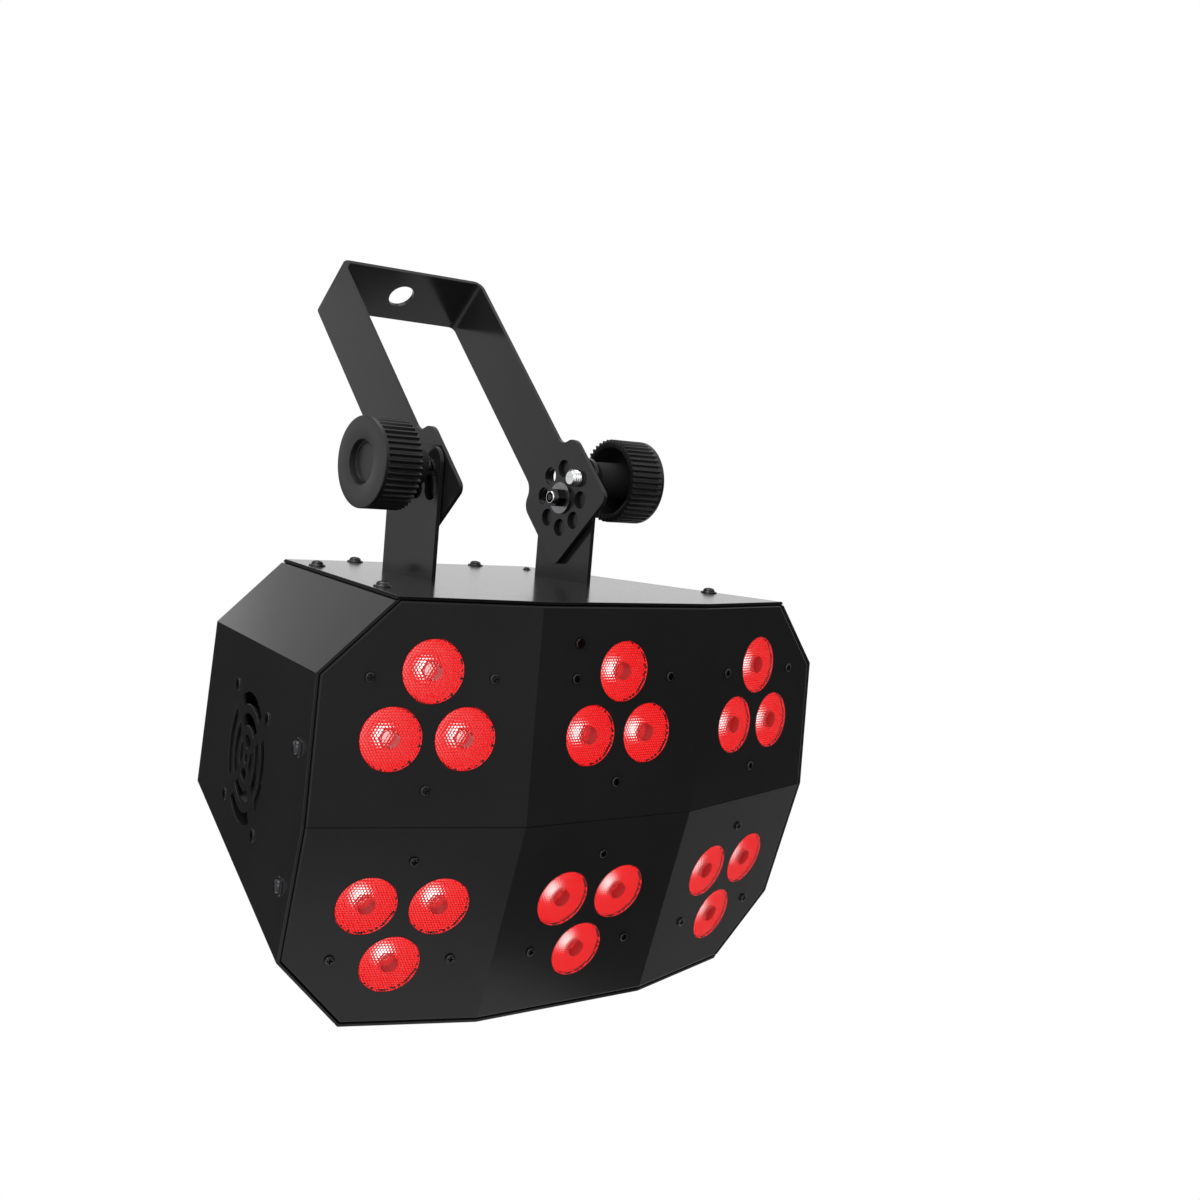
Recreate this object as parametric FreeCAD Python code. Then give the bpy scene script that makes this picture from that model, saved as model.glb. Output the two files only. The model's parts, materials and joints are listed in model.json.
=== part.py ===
import FreeCAD, Part
import math
import os

# Stage wash light: a faceted sheet-metal housing with eighteen lenses, hung from a U-shaped yoke.
# Lengths are in millimetres and angles in degrees.
# It is built on the kink line of the front: X to the right, -Y to the front, +Z up.
# Every piece is then moved so that the origin is the hanging hole in the yoke's crossbar.

V = FreeCAD.Vector
X = V(1, 0, 0)
Y = V(0, 1, 0)
Z = V(0, 0, 1)
ORIGIN = V(0, 0, 0)

# Housing. The upper facets stand upright; the lower half mirrors the upper one in the bisecting plane.
housing_width = 270.0
centre_facet_width = 89.2
facet_height = 91.1
facet_turn = 12.5
half_tilt = 7.5
housing_depth = 177.5
chamfer_leg = 29.8
sheet = 1.2
edge_gap = 0.4
kink_seam = 0.3
seam_height = 0.5
seam_depth = 0.8
front_flange = 20.0
back_flange = 12.0
under_flange = 14.0
flange_clearance = 1.0
front_bend_radius = 1.1
overrun = 5.0

# Optics: each facet has three lenses at the corners of an equilateral triangle.
lens_hole_radius = 12.95
lens_clearance = 0.1
lens_pitch = 30.5
lens_high_share = 0.686
outer_trio_share = 0.4806
lens_flange = 1.4
lens_flange_width = 1.0
lens_neck = 0.8
lens_foot_radius = 5.5
lens_pocket_radius = 3.6
lens_pocket_depth = 5.0
lens_cavity_radius = 2.6
lens_cavity_depth = 1.4
optic_depth = 15.3
holder_clearance = 0.5
holder_floor = 1.5
holder_eye_radius = 6.4
holder_post_radius = 3.4
board_side_margin = 4.15
board_top_margin = 2.4
board_foot_margin = 5.0
board_clearance = 1.0
board_sheet = 1.6
emitter_side = 5.0
emitter_height = 1.0
emitter_dome = 1.7
sink_base = 4.0
sink_fin = 1.3
sink_fin_count = 11
sink_depth = 14.0

# Facet screws: a pair beside the top lens and one near the kink.
facet_screw_side = 25.5
facet_screw_high_share = 0.6586
facet_screw_low_share = 0.1756
m3_shank = 1.5
m3_head = 2.0
m3_head_height = 1.2
low_head = 2.8
low_head_height = 0.5
m3_bite = 3.0
cross_width = 0.7
cross_share = 0.62
cross_depth = 1.0
screw_clearance = 0.15

# Flange-head screws of the covers. The top ones stand beside the sloped strip or the back edge.
cover_shank = 1.5
cover_head = 2.7
cover_head_height = 2.4
cover_flange = 3.8
cover_flange_height = 0.8
cover_length = 2.7
cover_screw_inset = 6.0
cover_screw_rows = [48.0, 135.5]
rear_screw_side = 35.0
rear_screw_inset = 4.5
ground_screw_share = 0.2074
ground_screw_x = housing_width * ground_screw_share
ground_screw_inset = 20.0
side_screw_depth = 35.8
side_screw_rise = 28.1

# Infrared window in the upper middle facet.
ir_x = -25.0
ir_height_share = 0.8167
ir_radius = 2.4
ir_lens_height = 1.2
ir_body = 6.0
ir_body_depth = 4.5

# Fan behind the left side panel and the slotted guards in both side panels.
fan_depth = 104.35
fan_drop = 1.9
fan_size = 60.0
fan_screw_pitch = 50.0
fan_thickness = 15.0
fan_bore = 28.6
fan_corner = 4.0
fan_boss = 10.5
fan_plate = 1.6
fan_strut = 3.0
fan_blade_count = 7
fan_blade_pitch = 38.0
fan_blade_sheet = 1.2
fan_blade_gap = 1.0
fan_rotor_gap = 1.5
fan_shaft = 1.5
running_clearance = 0.05
guard_hub_radius = 2.3
guard_ring_width = 5.0
guard_ring_radii = [7.2, 16.4, 25.4]
guard_spokes = [4.0, 4.5, 10.0]
guard_turn = 45.0
guard_spoke_count = 4

# Yoke, risers and pivots.
pivot_y = 101.9
pivot_z = 129.7
riser_face = 44.5
riser_sheet = 2.0
riser_width = 41.0
riser_above = 19.8
riser_corner = 8.0
riser_foot = 22.0
riser_bend = 2.0
riser_slot_gap = 0.2
riser_screw_side = 12.0
riser_screw_in = 12.0
yoke_gap = 1.2
yoke_sheet = 2.0
yoke_width = 30.5
yoke_reach = 131.0
yoke_lean = 45.0
yoke_bend = 3.0
lug_half_width = 25.1
lug_below = 22.0
lug_above = 16.7
lug_corner = 4.0
lug_shoulder = 7.0
lug_shoulder_rise = 3.1
hanging_hole_radius = 6.5
index_circle = 14.08
index_hole_radius = 4.1
index_count = 8
tilt_range = 45.0
stud_angle = 135.0
spare_index_angles = [0.0, 45.0]
slot_clearance = 0.3
bolt_radius = 2.5
bolt_head_radius = 4.75
bolt_head_height = 2.75
bolt_head_round_share = 0.6
bolt_socket_flats = 3.0
bolt_socket_depth = 1.6
bolt_hole_clearance = 0.1
bushing_radius = 4.0
bushing_flange = 7.5
friction_radius = 19.0
friction_bore = 7.8
friction_sheet = 0.8
face_clearance = 0.1
washer_radius = 7.5
washer_sheet = 1.2
nut_flats = 8.0
nut_height = 4.0
nut_collar_radius = 3.8
nut_collar_height = 1.0
bolt_stand_out = 0.8

# Locking knobs.
knob_radius = 19.8
knob_groove = 0.9
knob_rib_count = 44
knob_rib_share = 0.28
knob_back = 59.0
knob_face = 77.6
knob_taper_height = 1.2
knob_taper = 0.6
knob_face_sheet = 5.0
knob_wall = 2.8
knob_hub_radius = 8.4
knob_hub_end = 48.6
knob_recess_radius = 9.7
knob_recess_depth = 3.0
stud_clearance = 0.06
stud_end = 32.5
stud_bite = 21.0
stud_tip_chamfer = 0.8

# Back panel: connectors, display and buttons. Places are (towards -X, up) from its middle.
display_place = (0.0, 36.0)
display_width = 44.0
display_height = 18.0
display_sheet = 1.5
display_lip = 1.5
display_board_drop = 9.0
display_board_width = 62.0
display_board_high = 50.0
display_board_low = 6.0
display_module_margin = 3.0
standoff_radius = 2.5
standoff_inset = 4.0
button_places = [-21.0, -7.0, 7.0, 21.0]
button_height = 15.0
button_radius = 3.4
button_clearance = 0.2
button_stand_out = 2.0
button_rim = 1.0
button_rim_sheet = 0.8
button_travel = 0.8
button_stop_gap = 0.1
switch_side = 6.0
switch_height = 3.2
socket_side_share = 0.22963
socket_side = housing_width * socket_side_share
power_drop = 34.0
power_inlet_place = (socket_side, -power_drop)
power_outlet_place = (-socket_side, -power_drop)
power_flange_width = 34.0
power_flange_height = 26.0
power_flange_sheet = 2.0
power_flange_corner = 3.0
power_body_width = 28.0
power_body_height = 20.5
power_body_depth = 22.0
power_body_corner = 1.5
power_cavity_width = 24.6
power_cavity_height = 17.0
power_cavity_cut = 4.5
power_cavity_depth = 16.0
power_pin_pitch = 7.0
power_pin_rise = 4.0
power_pin_width = 2.0
power_pin_height = 4.0
power_pin_length = 13.0
power_slot_clearance = 0.3
fuse_place = (0.0, -34.0)
fuse_flange_radius = 9.0
fuse_flange_sheet = 1.5
fuse_barrel_radius = 6.5
fuse_barrel_depth = 26.0
fuse_bore_radius = 4.4
fuse_cap_radius = 6.2
fuse_cap_height = 6.0
fuse_cap_gap = 0.3
fuse_plug_clearance = 0.08
fuse_plug_length = 8.0
fuse_bore_depth = 18.0
fuse_cap_rounding = 0.9
fuse_slot_width = 1.4
fuse_slot_depth = 1.2
signal_rise = 12.0
signal_inlet_place = (socket_side, signal_rise)
signal_outlet_place = (-socket_side, signal_rise)
signal_flange_width = 26.0
signal_flange_height = 31.0
signal_flange_sheet = 1.6
signal_flange_corner = 2.5
signal_body_radius = 11.8
signal_body_depth = 20.0
signal_cavity_radius = 8.1
signal_cavity_depth = 13.0
signal_pin_circle = 4.2
signal_pin_radius = 1.2
signal_pin_length = 11.0
signal_pin_angles = [30.0, 150.0, 270.0]
signal_socket_clearance = 0.3
signal_socket_depth = 11.0
signal_screw_side = 9.5
signal_screw_rise = 12.0
latch_rise = 9.0
latch_width = 8.0
latch_height = 3.4
latch_stand_out = 2.6
latch_root = 4.0
latch_clearance = 0.15
latch_travel = 1.5
panel_hole_clearance = 0.2
eye_place = (0.0, 59.0)
eye_base_width = 26.0
eye_base_height = 12.0
eye_sheet = 3.0
eye_reach = 17.0
eye_hole_radius = 5.0
eye_screw_side = 8.5
eye_round_share = 0.95

# Boards on the bottom plate.
standoff_height = 8.0
supply_left = -60.0
supply_right = -3.0
control_left = 5.0
control_right = 56.0
board_front = 72.0
board_back = 142.0
transformer_size = 26.0
transformer_height = 22.0
transformer_inset = 9.0
capacitor_radius = 7.0
capacitor_height = 24.0
capacitor_pitch = 16.0
chip_side = 12.0
chip_height = 1.6
header_width = 24.0
header_depth = 6.0
header_height = 9.0
header_inset = 3.0

turn_sin = math.sin(math.radians(facet_turn))
turn_cos = math.cos(math.radians(facet_turn))
tilt_sin = math.sin(math.radians(half_tilt))
tilt_cos = math.cos(math.radians(half_tilt))
DEEP = V(0, tilt_cos, tilt_sin)
HIGH = V(0, -tilt_sin, tilt_cos)
reach = 4.0 * housing_width
facet_corner = centre_facet_width / 2
kink_end_x = housing_width / 2
kink_end_depth = (kink_end_x - facet_corner) * turn_sin / turn_cos / tilt_cos
gap_inset = sheet + edge_gap


def polar(radius, angle):
    return V(radius * math.cos(math.radians(angle)), radius * math.sin(math.radians(angle)), 0)


class Frame:
    """A place on a surface: u along it, v up it and w out of it."""

    def __init__(self, origin, along, up):
        out = along.cross(up)
        self.origin = origin
        self.along = along
        self.up = up
        self.out = out
        matrix = FreeCAD.Matrix(
            along.x, up.x, out.x, origin.x,
            along.y, up.y, out.y, origin.y,
            along.z, up.z, out.z, origin.z,
            0, 0, 0, 1)
        self.placement = FreeCAD.Placement(matrix)

    def put(self, shape):
        placed = shape.copy()
        placed.Placement = self.placement.multiply(placed.Placement)
        return placed

    def point(self, u, v, w):
        return self.origin + self.along * u + self.up * v + self.out * w


def block(u0, u1, v0, v1, w0, w1):
    return Part.makeBox(u1 - u0, v1 - v0, w1 - w0, V(u0, v0, w0))


def rod(u, v, w0, w1, radius):
    return Part.makeCylinder(radius, w1 - w0, V(u, v, w0), Z)


def turned(points):
    """Solid of revolution about w from (radius, w) points."""
    corners = [V(radius, 0, w) for radius, w in points]
    face = Part.Face(Part.makePolygon(corners + corners[:1]))
    return face.revolve(ORIGIN, Z, 360)


def rounded_face(points, radii):
    """Flat outline whose corners are arcs of the given radii."""
    edges = []
    ends = []
    count = len(points)
    for i in range(count):
        corner = points[i]
        before = (points[i - 1] - corner).normalize()
        after = (points[(i + 1) % count] - corner).normalize()
        if radii[i] <= 0:
            ends.append((corner, corner, None))
            continue
        half = before.getAngle(after) / 2
        run = radii[i] / math.tan(half)
        inward = (before + after).normalize()
        middle = corner + inward * (radii[i] / math.sin(half) - radii[i])
        ends.append((corner + before * run, corner + after * run, middle))
    for i in range(count):
        start, finish, middle = ends[i]
        if middle is not None:
            edges.append(Part.Arc(start, middle, finish).toShape())
        following = ends[(i + 1) % count][0]
        if finish.distanceToPoint(following) > 1e-6:
            edges.append(Part.LineSegment(finish, following).toShape())
    return Part.Face(Part.Wire(edges))


def rounded_block(width, height, corner, w0, w1, u=0.0, v=0.0):
    points = [V(u - width / 2, v - height / 2, w0), V(u + width / 2, v - height / 2, w0),
              V(u + width / 2, v + height / 2, w0), V(u - width / 2, v + height / 2, w0)]
    return rounded_face(points, [corner] * 4).extrude(V(0, 0, w1 - w0))


def joined(shapes):
    whole = shapes[0]
    if len(shapes) > 1:
        whole = whole.fuse(shapes[1:])
    return whole.removeSplitter()


def cut_all(shape, tools):
    return shape.cut(tools) if tools else shape


def in_lower_half(shape):
    """Mirror in the plane that bisects the housing."""
    return shape.mirror(ORIGIN, HIGH)


def on_other_side(shape):
    return shape.mirror(ORIGIN, X)


def beyond(point, normal):
    """Block that fills the space beyond a plane."""
    helper = Z if abs(normal.z) < 0.9 else X
    along = helper.cross(normal).normalize()
    up = normal.cross(along)
    return Frame(point, along, up).put(block(-reach, reach, -reach, reach, 0, reach))


kink_end = V(kink_end_x, 0, 0) + DEEP * kink_end_depth
side_normal = X * turn_cos + DEEP * turn_sin
outer_normal = V(turn_sin, -turn_cos, 0)
side_in_top = (X * side_normal.x + Y * side_normal.y) * (1 / math.hypot(side_normal.x, side_normal.y))
top_edge_point = V(kink_end.x, kink_end.y, facet_height)
top_edge_shift = (kink_end - top_edge_point).dot(side_normal) / side_in_top.dot(side_normal)
chamfer_point = top_edge_point + side_in_top * (top_edge_shift - chamfer_leg)
chamfer_normal = (side_normal + Z).normalize()


slope_run = side_in_top.y / side_in_top.x
slope_corner = chamfer_point.x + chamfer_point.y * slope_run
top_back_edge = (housing_depth - facet_height * tilt_sin) / tilt_cos
top_screw_places = [(slope_corner - y * slope_run - cover_screw_inset, y) for y in cover_screw_rows]
top_screw_places.append((rear_screw_side, top_back_edge - rear_screw_inset))
ground_screw_y = top_back_edge - ground_screw_inset


def volume(front=0.0, wall=0.0, cover=0.0, back=0.0):
    """Housing volume with its front, side walls, top and bottom, and back moved inward."""
    core = block(-reach / 2, reach / 2, -reach / 2, reach / 2, -reach / 2, reach / 2)
    upper = [
        (ORIGIN, -Y, front),
        (V(facet_corner, 0, 0), outer_normal, front),
        (V(0, 0, facet_height), Z, cover),
        (chamfer_point, chamfer_normal, wall)]
    tools = []
    for point, normal, inset in upper:
        tool = beyond(point - normal * inset, normal)
        tools.append(tool)
        tools.append(in_lower_half(tool))
        if abs(normal.x) > 0:
            tools.append(on_other_side(tool))
            tools.append(on_other_side(in_lower_half(tool)))
    side = beyond(kink_end - side_normal * wall, side_normal)
    tools += [side, on_other_side(side)]
    tools.append(beyond(DEEP * (housing_depth - back), DEEP))
    for tool in tools:
        core = core.cut(tool)
    return core


def cross_recess(head, height):
    half = head * cross_share
    bar = block(-half, half, -cross_width / 2, cross_width / 2, height - cross_depth, height + overrun)
    other = bar.copy()
    other.rotate(ORIGIN, Z, 90)
    return bar.fuse(other)


def pan_screw(length, radius=m3_head, height=m3_head_height):
    """Pan-head screw that seats at w = 0, with its head outward."""
    head = rod(0, 0, 0, height, radius)
    rim = [e for e in head.Edges if e.CenterOfMass.z > height / 2 and e.Closed]
    head = head.makeFillet(height / 2, rim[:1])
    head = head.cut(cross_recess(radius, height))
    return head.fuse(rod(0, 0, -length, 0, m3_shank)).removeSplitter()


def flange_screw():
    """Flange-head screw that seats at w = 0, with its head outward."""
    head = rod(0, 0, 0, cover_head_height, cover_head)
    rim = [e for e in head.Edges if e.CenterOfMass.z > cover_head_height / 2 and e.Closed]
    head = head.makeFillet(cover_head_height / 3, rim[:1])
    head = head.cut(cross_recess(cover_head, cover_head_height))
    flange = rod(0, 0, 0, cover_flange_height, cover_flange)
    return joined([head, flange, rod(0, 0, -cover_length, 0, cover_shank)])


def moved(shape, u, v, w=0.0):
    copy = shape.copy()
    copy.translate(V(u, v, w))
    return copy


outer_facet_width = (kink_end_x - facet_corner) / turn_cos
outer_trio_offset = outer_facet_width * outer_trio_share
lens_high = facet_height * lens_high_share
facet_screw_high = facet_height * facet_screw_high_share
facet_screw_low = facet_height * facet_screw_low_share
ir_height = facet_height * ir_height_share

# Facet frames, on the kink line at each trio's centreline.
facet_frames = {
    "centre": Frame(ORIGIN, X, Z),
    "right": Frame(V(facet_corner, 0, 0) + V(turn_cos, turn_sin, 0) * outer_trio_offset,
                   V(turn_cos, turn_sin, 0), Z),
    "left": Frame(V(-facet_corner, 0, 0) + V(-turn_cos, turn_sin, 0) * outer_trio_offset,
                  V(turn_cos, -turn_sin, 0), Z)}
lens_low = lens_high - lens_pitch * math.sin(math.radians(60))
lens_places = [(0.0, lens_high), (-lens_pitch / 2, lens_low), (lens_pitch / 2, lens_low)]
facet_screw_places = [(-facet_screw_side, facet_screw_high), (facet_screw_side, facet_screw_high),
                      (0.0, facet_screw_low)]
lens_radius = lens_hole_radius - lens_clearance
lens_seat = -sheet - lens_flange
board_face = -sheet - optic_depth
board_rear = board_face - board_sheet
board_half_width = lens_pitch / 2 + lens_radius + board_side_margin
board_high = lens_high + lens_radius + board_top_margin
board_low = facet_screw_low - board_foot_margin


def facet_holes():
    """Lens and screw holes of one facet, in the facet's own frame."""
    holes = [rod(u, v, -sheet - overrun, overrun, lens_hole_radius) for u, v in lens_places]
    for u, v in facet_screw_places:
        holes.append(rod(u, v, -sheet - overrun, overrun, m3_shank + screw_clearance))
    return holes


def front_panel():
    """Upper front panel: three facets with a return flange along the covers."""
    tray = volume(0, gap_inset, gap_inset).cut(volume(sheet, gap_inset + sheet, gap_inset + sheet, -reach / 4))
    tray = tray.cut(volume(front_flange, -overrun, -overrun, -reach / 4))
    tray = tray.cut(beyond(HIGH * (kink_seam / 2), -HIGH))
    corner_height = facet_height - gap_inset
    front_edges = []
    for edge in tray.Edges:
        middle = edge.CenterOfMass
        on_centre = abs(middle.y) < 1e-4
        on_outer = abs((V(abs(middle.x), middle.y, middle.z) - V(facet_corner, 0, 0)).dot(outer_normal)) < 1e-4
        rim = abs(middle.z - corner_height) < 1e-4
        x_reach = V(abs(middle.x), middle.y, middle.z)
        rim = rim or abs((x_reach - chamfer_point).dot(chamfer_normal) + gap_inset) < 1e-4
        rim = rim or abs((x_reach - kink_end).dot(side_normal) + gap_inset) < 1e-4
        if rim and (on_centre or on_outer):
            front_edges.append(edge)
    tray = tray.makeFillet(front_bend_radius, front_edges)
    holes = []
    for frame in facet_frames.values():
        holes += [frame.put(hole) for hole in facet_holes()]
    return cut_all(tray, holes)


def lens():
    """One collimator lens with a central pocket, flush with the panel's face."""
    foot = board_face + emitter_height + emitter_dome + face_clearance
    return turned([
        (0, -lens_pocket_depth),
        (lens_pocket_radius, -lens_pocket_depth),
        (lens_pocket_radius, 0),
        (lens_radius, 0),
        (lens_radius, -sheet),
        (lens_radius + lens_flange_width, -sheet),
        (lens_radius + lens_flange_width, lens_seat),
        (lens_radius - lens_neck, lens_seat),
        (lens_foot_radius, foot),
        (lens_cavity_radius, foot),
        (lens_cavity_radius, foot + lens_cavity_depth),
        (0, foot + lens_cavity_depth)])


def lens_holder():
    """Black carrier: three cups on a floor, with a post behind each facet screw."""
    middle = (board_low + board_high) / 2
    height = board_high - board_low
    solids = [rounded_block(2 * board_half_width, height, holder_post_radius,
                            board_face, board_face + holder_floor, 0.0, middle)]
    cup_radius = lens_radius + lens_flange_width
    holes = []
    for u, v in lens_places:
        solids.append(rod(u, v, board_face, lens_seat, cup_radius))
        bore = lens_radius - lens_neck + holder_clearance
        holes.append(rod(u, v, board_face + holder_floor, overrun, bore))
        holes.append(rod(u, v, board_face - overrun, overrun, holder_eye_radius))
    for u, v in facet_screw_places:
        solids.append(rod(u, v, board_face, -sheet, holder_post_radius))
        holes.append(rod(u, v, board_face - overrun, overrun, m3_shank + screw_clearance))
    return cut_all(joined(solids), holes)


def led_board():
    middle = (board_low + board_high) / 2
    board = rounded_block(2 * board_half_width, board_high - board_low, holder_post_radius,
                          board_rear, board_face, 0.0, middle)
    holes = [rod(u, v, board_rear - overrun, overrun, m3_shank + screw_clearance) for u, v in facet_screw_places]
    return cut_all(board, holes)


def emitters():
    chips = []
    half = emitter_side / 2
    for u, v in lens_places:
        base = block(u - half, u + half, v - half, v + half, board_face, board_face + emitter_height)
        dome = Part.makeSphere(emitter_dome, V(u, v, board_face + emitter_height), Z, 0, 90, 360)
        chips.append(base.fuse(dome))
    return chips


def heatsink():
    base = block(-board_half_width, board_half_width, board_low, board_high, board_rear - sink_base, board_rear)
    solids = [base]
    pitch = (2 * board_half_width - sink_fin) / (sink_fin_count - 1)
    for i in range(sink_fin_count):
        left = -board_half_width + i * pitch
        solids.append(block(left, left + sink_fin, board_low, board_high,
                            board_rear - sink_base - sink_depth, board_rear - sink_base))
    holes = [rod(u, v, board_rear - m3_bite, board_rear + overrun, m3_shank) for u, v in facet_screw_places]
    return cut_all(joined(solids), holes)


# Side panel frame: u to the front, v up, w out, at the fan's centre on the left panel.
left_side_normal = V(-side_normal.x, side_normal.y, side_normal.z)
left_kink_end = V(-kink_end.x, kink_end.y, kink_end.z)
to_front = (X * -turn_sin) - DEEP * turn_cos
fan_run = (fan_depth - kink_end_depth) / turn_cos
side_frame = Frame(left_kink_end - to_front * fan_run - HIGH * fan_drop, to_front, HIGH)
side_screw_run = fan_run - (side_screw_depth - kink_end_depth) / turn_cos
side_screw_places = [(side_screw_run, side_screw_rise), (side_screw_run, -side_screw_rise)]
fan_screw_half = fan_screw_pitch / 2
fan_screw_places = [(u, v) for u in (-fan_screw_half, fan_screw_half) for v in (-fan_screw_half, fan_screw_half)]


def guard_slots():
    """Rings of arc slots round a small hole, crossed by four spokes."""
    slots = [rod(0, 0, -sheet - overrun, overrun, guard_hub_radius)]
    outermost = guard_ring_radii[-1] + guard_ring_width
    for radius, width in zip(guard_ring_radii, guard_spokes):
        spokes = []
        for i in range(guard_spoke_count):
            spoke = block(0, outermost, -width / 2, width / 2, -sheet - 2 * overrun, 2 * overrun)
            spoke.rotate(ORIGIN, Z, guard_turn + i * 360 / guard_spoke_count)
            spokes.append(spoke)
        ring = rod(0, 0, -sheet - overrun, overrun, radius + guard_ring_width / 2)
        ring = ring.cut(rod(0, 0, -sheet - 2 * overrun, 2 * overrun, radius - guard_ring_width / 2))
        slots.append(ring.cut(spokes))
    return slots


def side_panel():
    """Left side panel: side, both sloped strips and the flanges under top and bottom plates."""
    panel = volume(0, 0, sheet, 0).cut(volume(-overrun, sheet, 2 * sheet, -overrun))
    inner_limit = chamfer_leg + under_flange
    panel = panel.cut(beyond(left_kink_end - left_side_normal * inner_limit, -left_side_normal))
    behind_front = volume(front_flange + flange_clearance, -overrun, -overrun, back_flange + flange_clearance)
    panel = panel.cut(volume(-overrun, sheet, -overrun, -overrun).cut(behind_front))
    groove = volume(-overrun, -overrun, -overrun, -overrun)
    groove = groove.cut(volume(-2 * overrun, seam_depth, -2 * overrun, -2 * overrun))
    band = block(-reach, reach, -reach, reach, facet_height - sheet - seam_height, facet_height)
    groove = groove.common(band)
    panel = panel.cut(groove).cut(in_lower_half(groove))
    holes = list(guard_slots())
    for u, v in fan_screw_places:
        holes.append(rod(u, v, -sheet - overrun, overrun, m3_shank + screw_clearance))
    for u, v in side_screw_places:
        holes.append(rod(u, v, -sheet - overrun, overrun, cover_shank + screw_clearance))
    panel = panel.cut([side_frame.put(hole) for hole in holes])
    return panel.cut(cover_screw_holes())


def cover_screw_holes():
    """Holes of the flange-head screws in the top plate, mirrored for the bottom plate."""
    holes = []
    for x, y in top_screw_places:
        for side in (-1, 1):
            hole = rod(side * x, y, facet_height - cover_length, facet_height + overrun,
                       cover_shank + screw_clearance)
            holes += [hole, in_lower_half(hole)]
    return holes


# Yoke frame: u along the strap's width, v along the arm, w to the right.
pivot = V(0, pivot_y, pivot_z)
arm = V(0, math.sin(math.radians(yoke_lean)), math.cos(math.radians(yoke_lean)))
arm_side = V(0, arm.z, -arm.y)
lug_frame = Frame(pivot, arm_side, arm)
strap_frame = Frame(pivot, X, arm)
pivot_frame = Frame(pivot, Y, Z)
yoke_face = riser_face - riser_sheet - yoke_gap
yoke_inner = yoke_face - yoke_sheet
stud_radius = index_hole_radius - stud_clearance
stud_place = polar(index_circle, 180 - stud_angle)
stud_place = V(-stud_place.x, stud_place.y, 0)


def top_plate(with_risers):
    plate = volume().common(block(-reach, reach, -reach, reach, facet_height - sheet, facet_height + overrun))
    plate = plate.cut(cover_screw_holes())
    if with_risers:
        gap = riser_slot_gap
        for side in (-1, 1):
            low = min(side * (riser_face + gap), side * (riser_face - riser_sheet - gap))
            high = max(side * (riser_face + gap), side * (riser_face - riser_sheet - gap))
            plate = plate.cut(block(low, high, pivot_y - riser_width / 2 - gap, pivot_y + riser_width / 2 + gap,
                                    facet_height - sheet - overrun, facet_height + overrun))
        plate = plate.cut(rod(ground_screw_x, ground_screw_y, facet_height - sheet - overrun,
                              facet_height + overrun, m3_shank + screw_clearance))
    return plate


def riser():
    """Right riser: a strap through the top plate on an inward foot."""
    foot_top = facet_height - sheet
    foot_bottom = foot_top - riser_sheet
    crown = pivot_z + riser_above
    inner = riser_face - riser_sheet
    points = [V(riser_face - riser_foot, foot_bottom, 0), V(riser_face, foot_bottom, 0), V(riser_face, crown, 0),
              V(inner, crown, 0), V(inner, foot_top, 0), V(riser_face - riser_foot, foot_top, 0)]
    profile = rounded_face(points, [0, riser_bend, 0, 0, 0, 0])
    bar_frame = Frame(V(0, pivot_y + riser_width / 2, 0), X, Z)
    strap = bar_frame.put(profile.extrude(V(0, 0, riser_width)))
    half = riser_width / 2
    below = foot_bottom - pivot_z
    outline = rounded_face([V(-half, below, 0), V(half, below, 0), V(half, riser_above, 0), V(-half, riser_above, 0)],
                           [0, 0, riser_corner, riser_corner])
    outline = pivot_frame.put(outline.extrude(V(0, 0, riser_face + overrun)))
    strap = strap.common(outline)
    tools = [rod(0, 0, 0, riser_face + overrun, bolt_radius + bolt_hole_clearance)]
    tools.append(arc_slot())
    for angle in spare_index_angles:
        spare = polar(index_circle, angle)
        tools.append(rod(spare.x, spare.y, 0, riser_face + overrun, index_hole_radius))
    strap = strap.cut([pivot_frame.put(tool) for tool in tools])
    for v in (-riser_screw_side, riser_screw_side):
        strap = strap.cut(rod(inner - riser_screw_in, pivot_y + v, foot_bottom - overrun, foot_top + overrun,
                              cover_shank + screw_clearance))
    return strap


def arc_slot():
    """Slot that the locking stud runs in, over the whole tilt."""
    slot_radius = stud_radius + slot_clearance
    ring = rod(0, 0, 0, riser_face + overrun, index_circle + slot_radius)
    ring = ring.cut(rod(0, 0, -overrun, riser_face + 2 * overrun, index_circle - slot_radius))
    start = stud_angle - tilt_range
    edge = 2 * index_circle
    wedge = Part.Face(Part.makePolygon([ORIGIN, polar(edge, start), polar(2 * edge, start + tilt_range),
                                        polar(edge, start + 2 * tilt_range), ORIGIN]))
    sector = ring.common(wedge.extrude(V(0, 0, riser_face + overrun)))
    ends = [polar(index_circle, start), polar(index_circle, start + 2 * tilt_range)]
    return joined([sector] + [rod(end.x, end.y, 0, riser_face + overrun, slot_radius) for end in ends])


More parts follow.
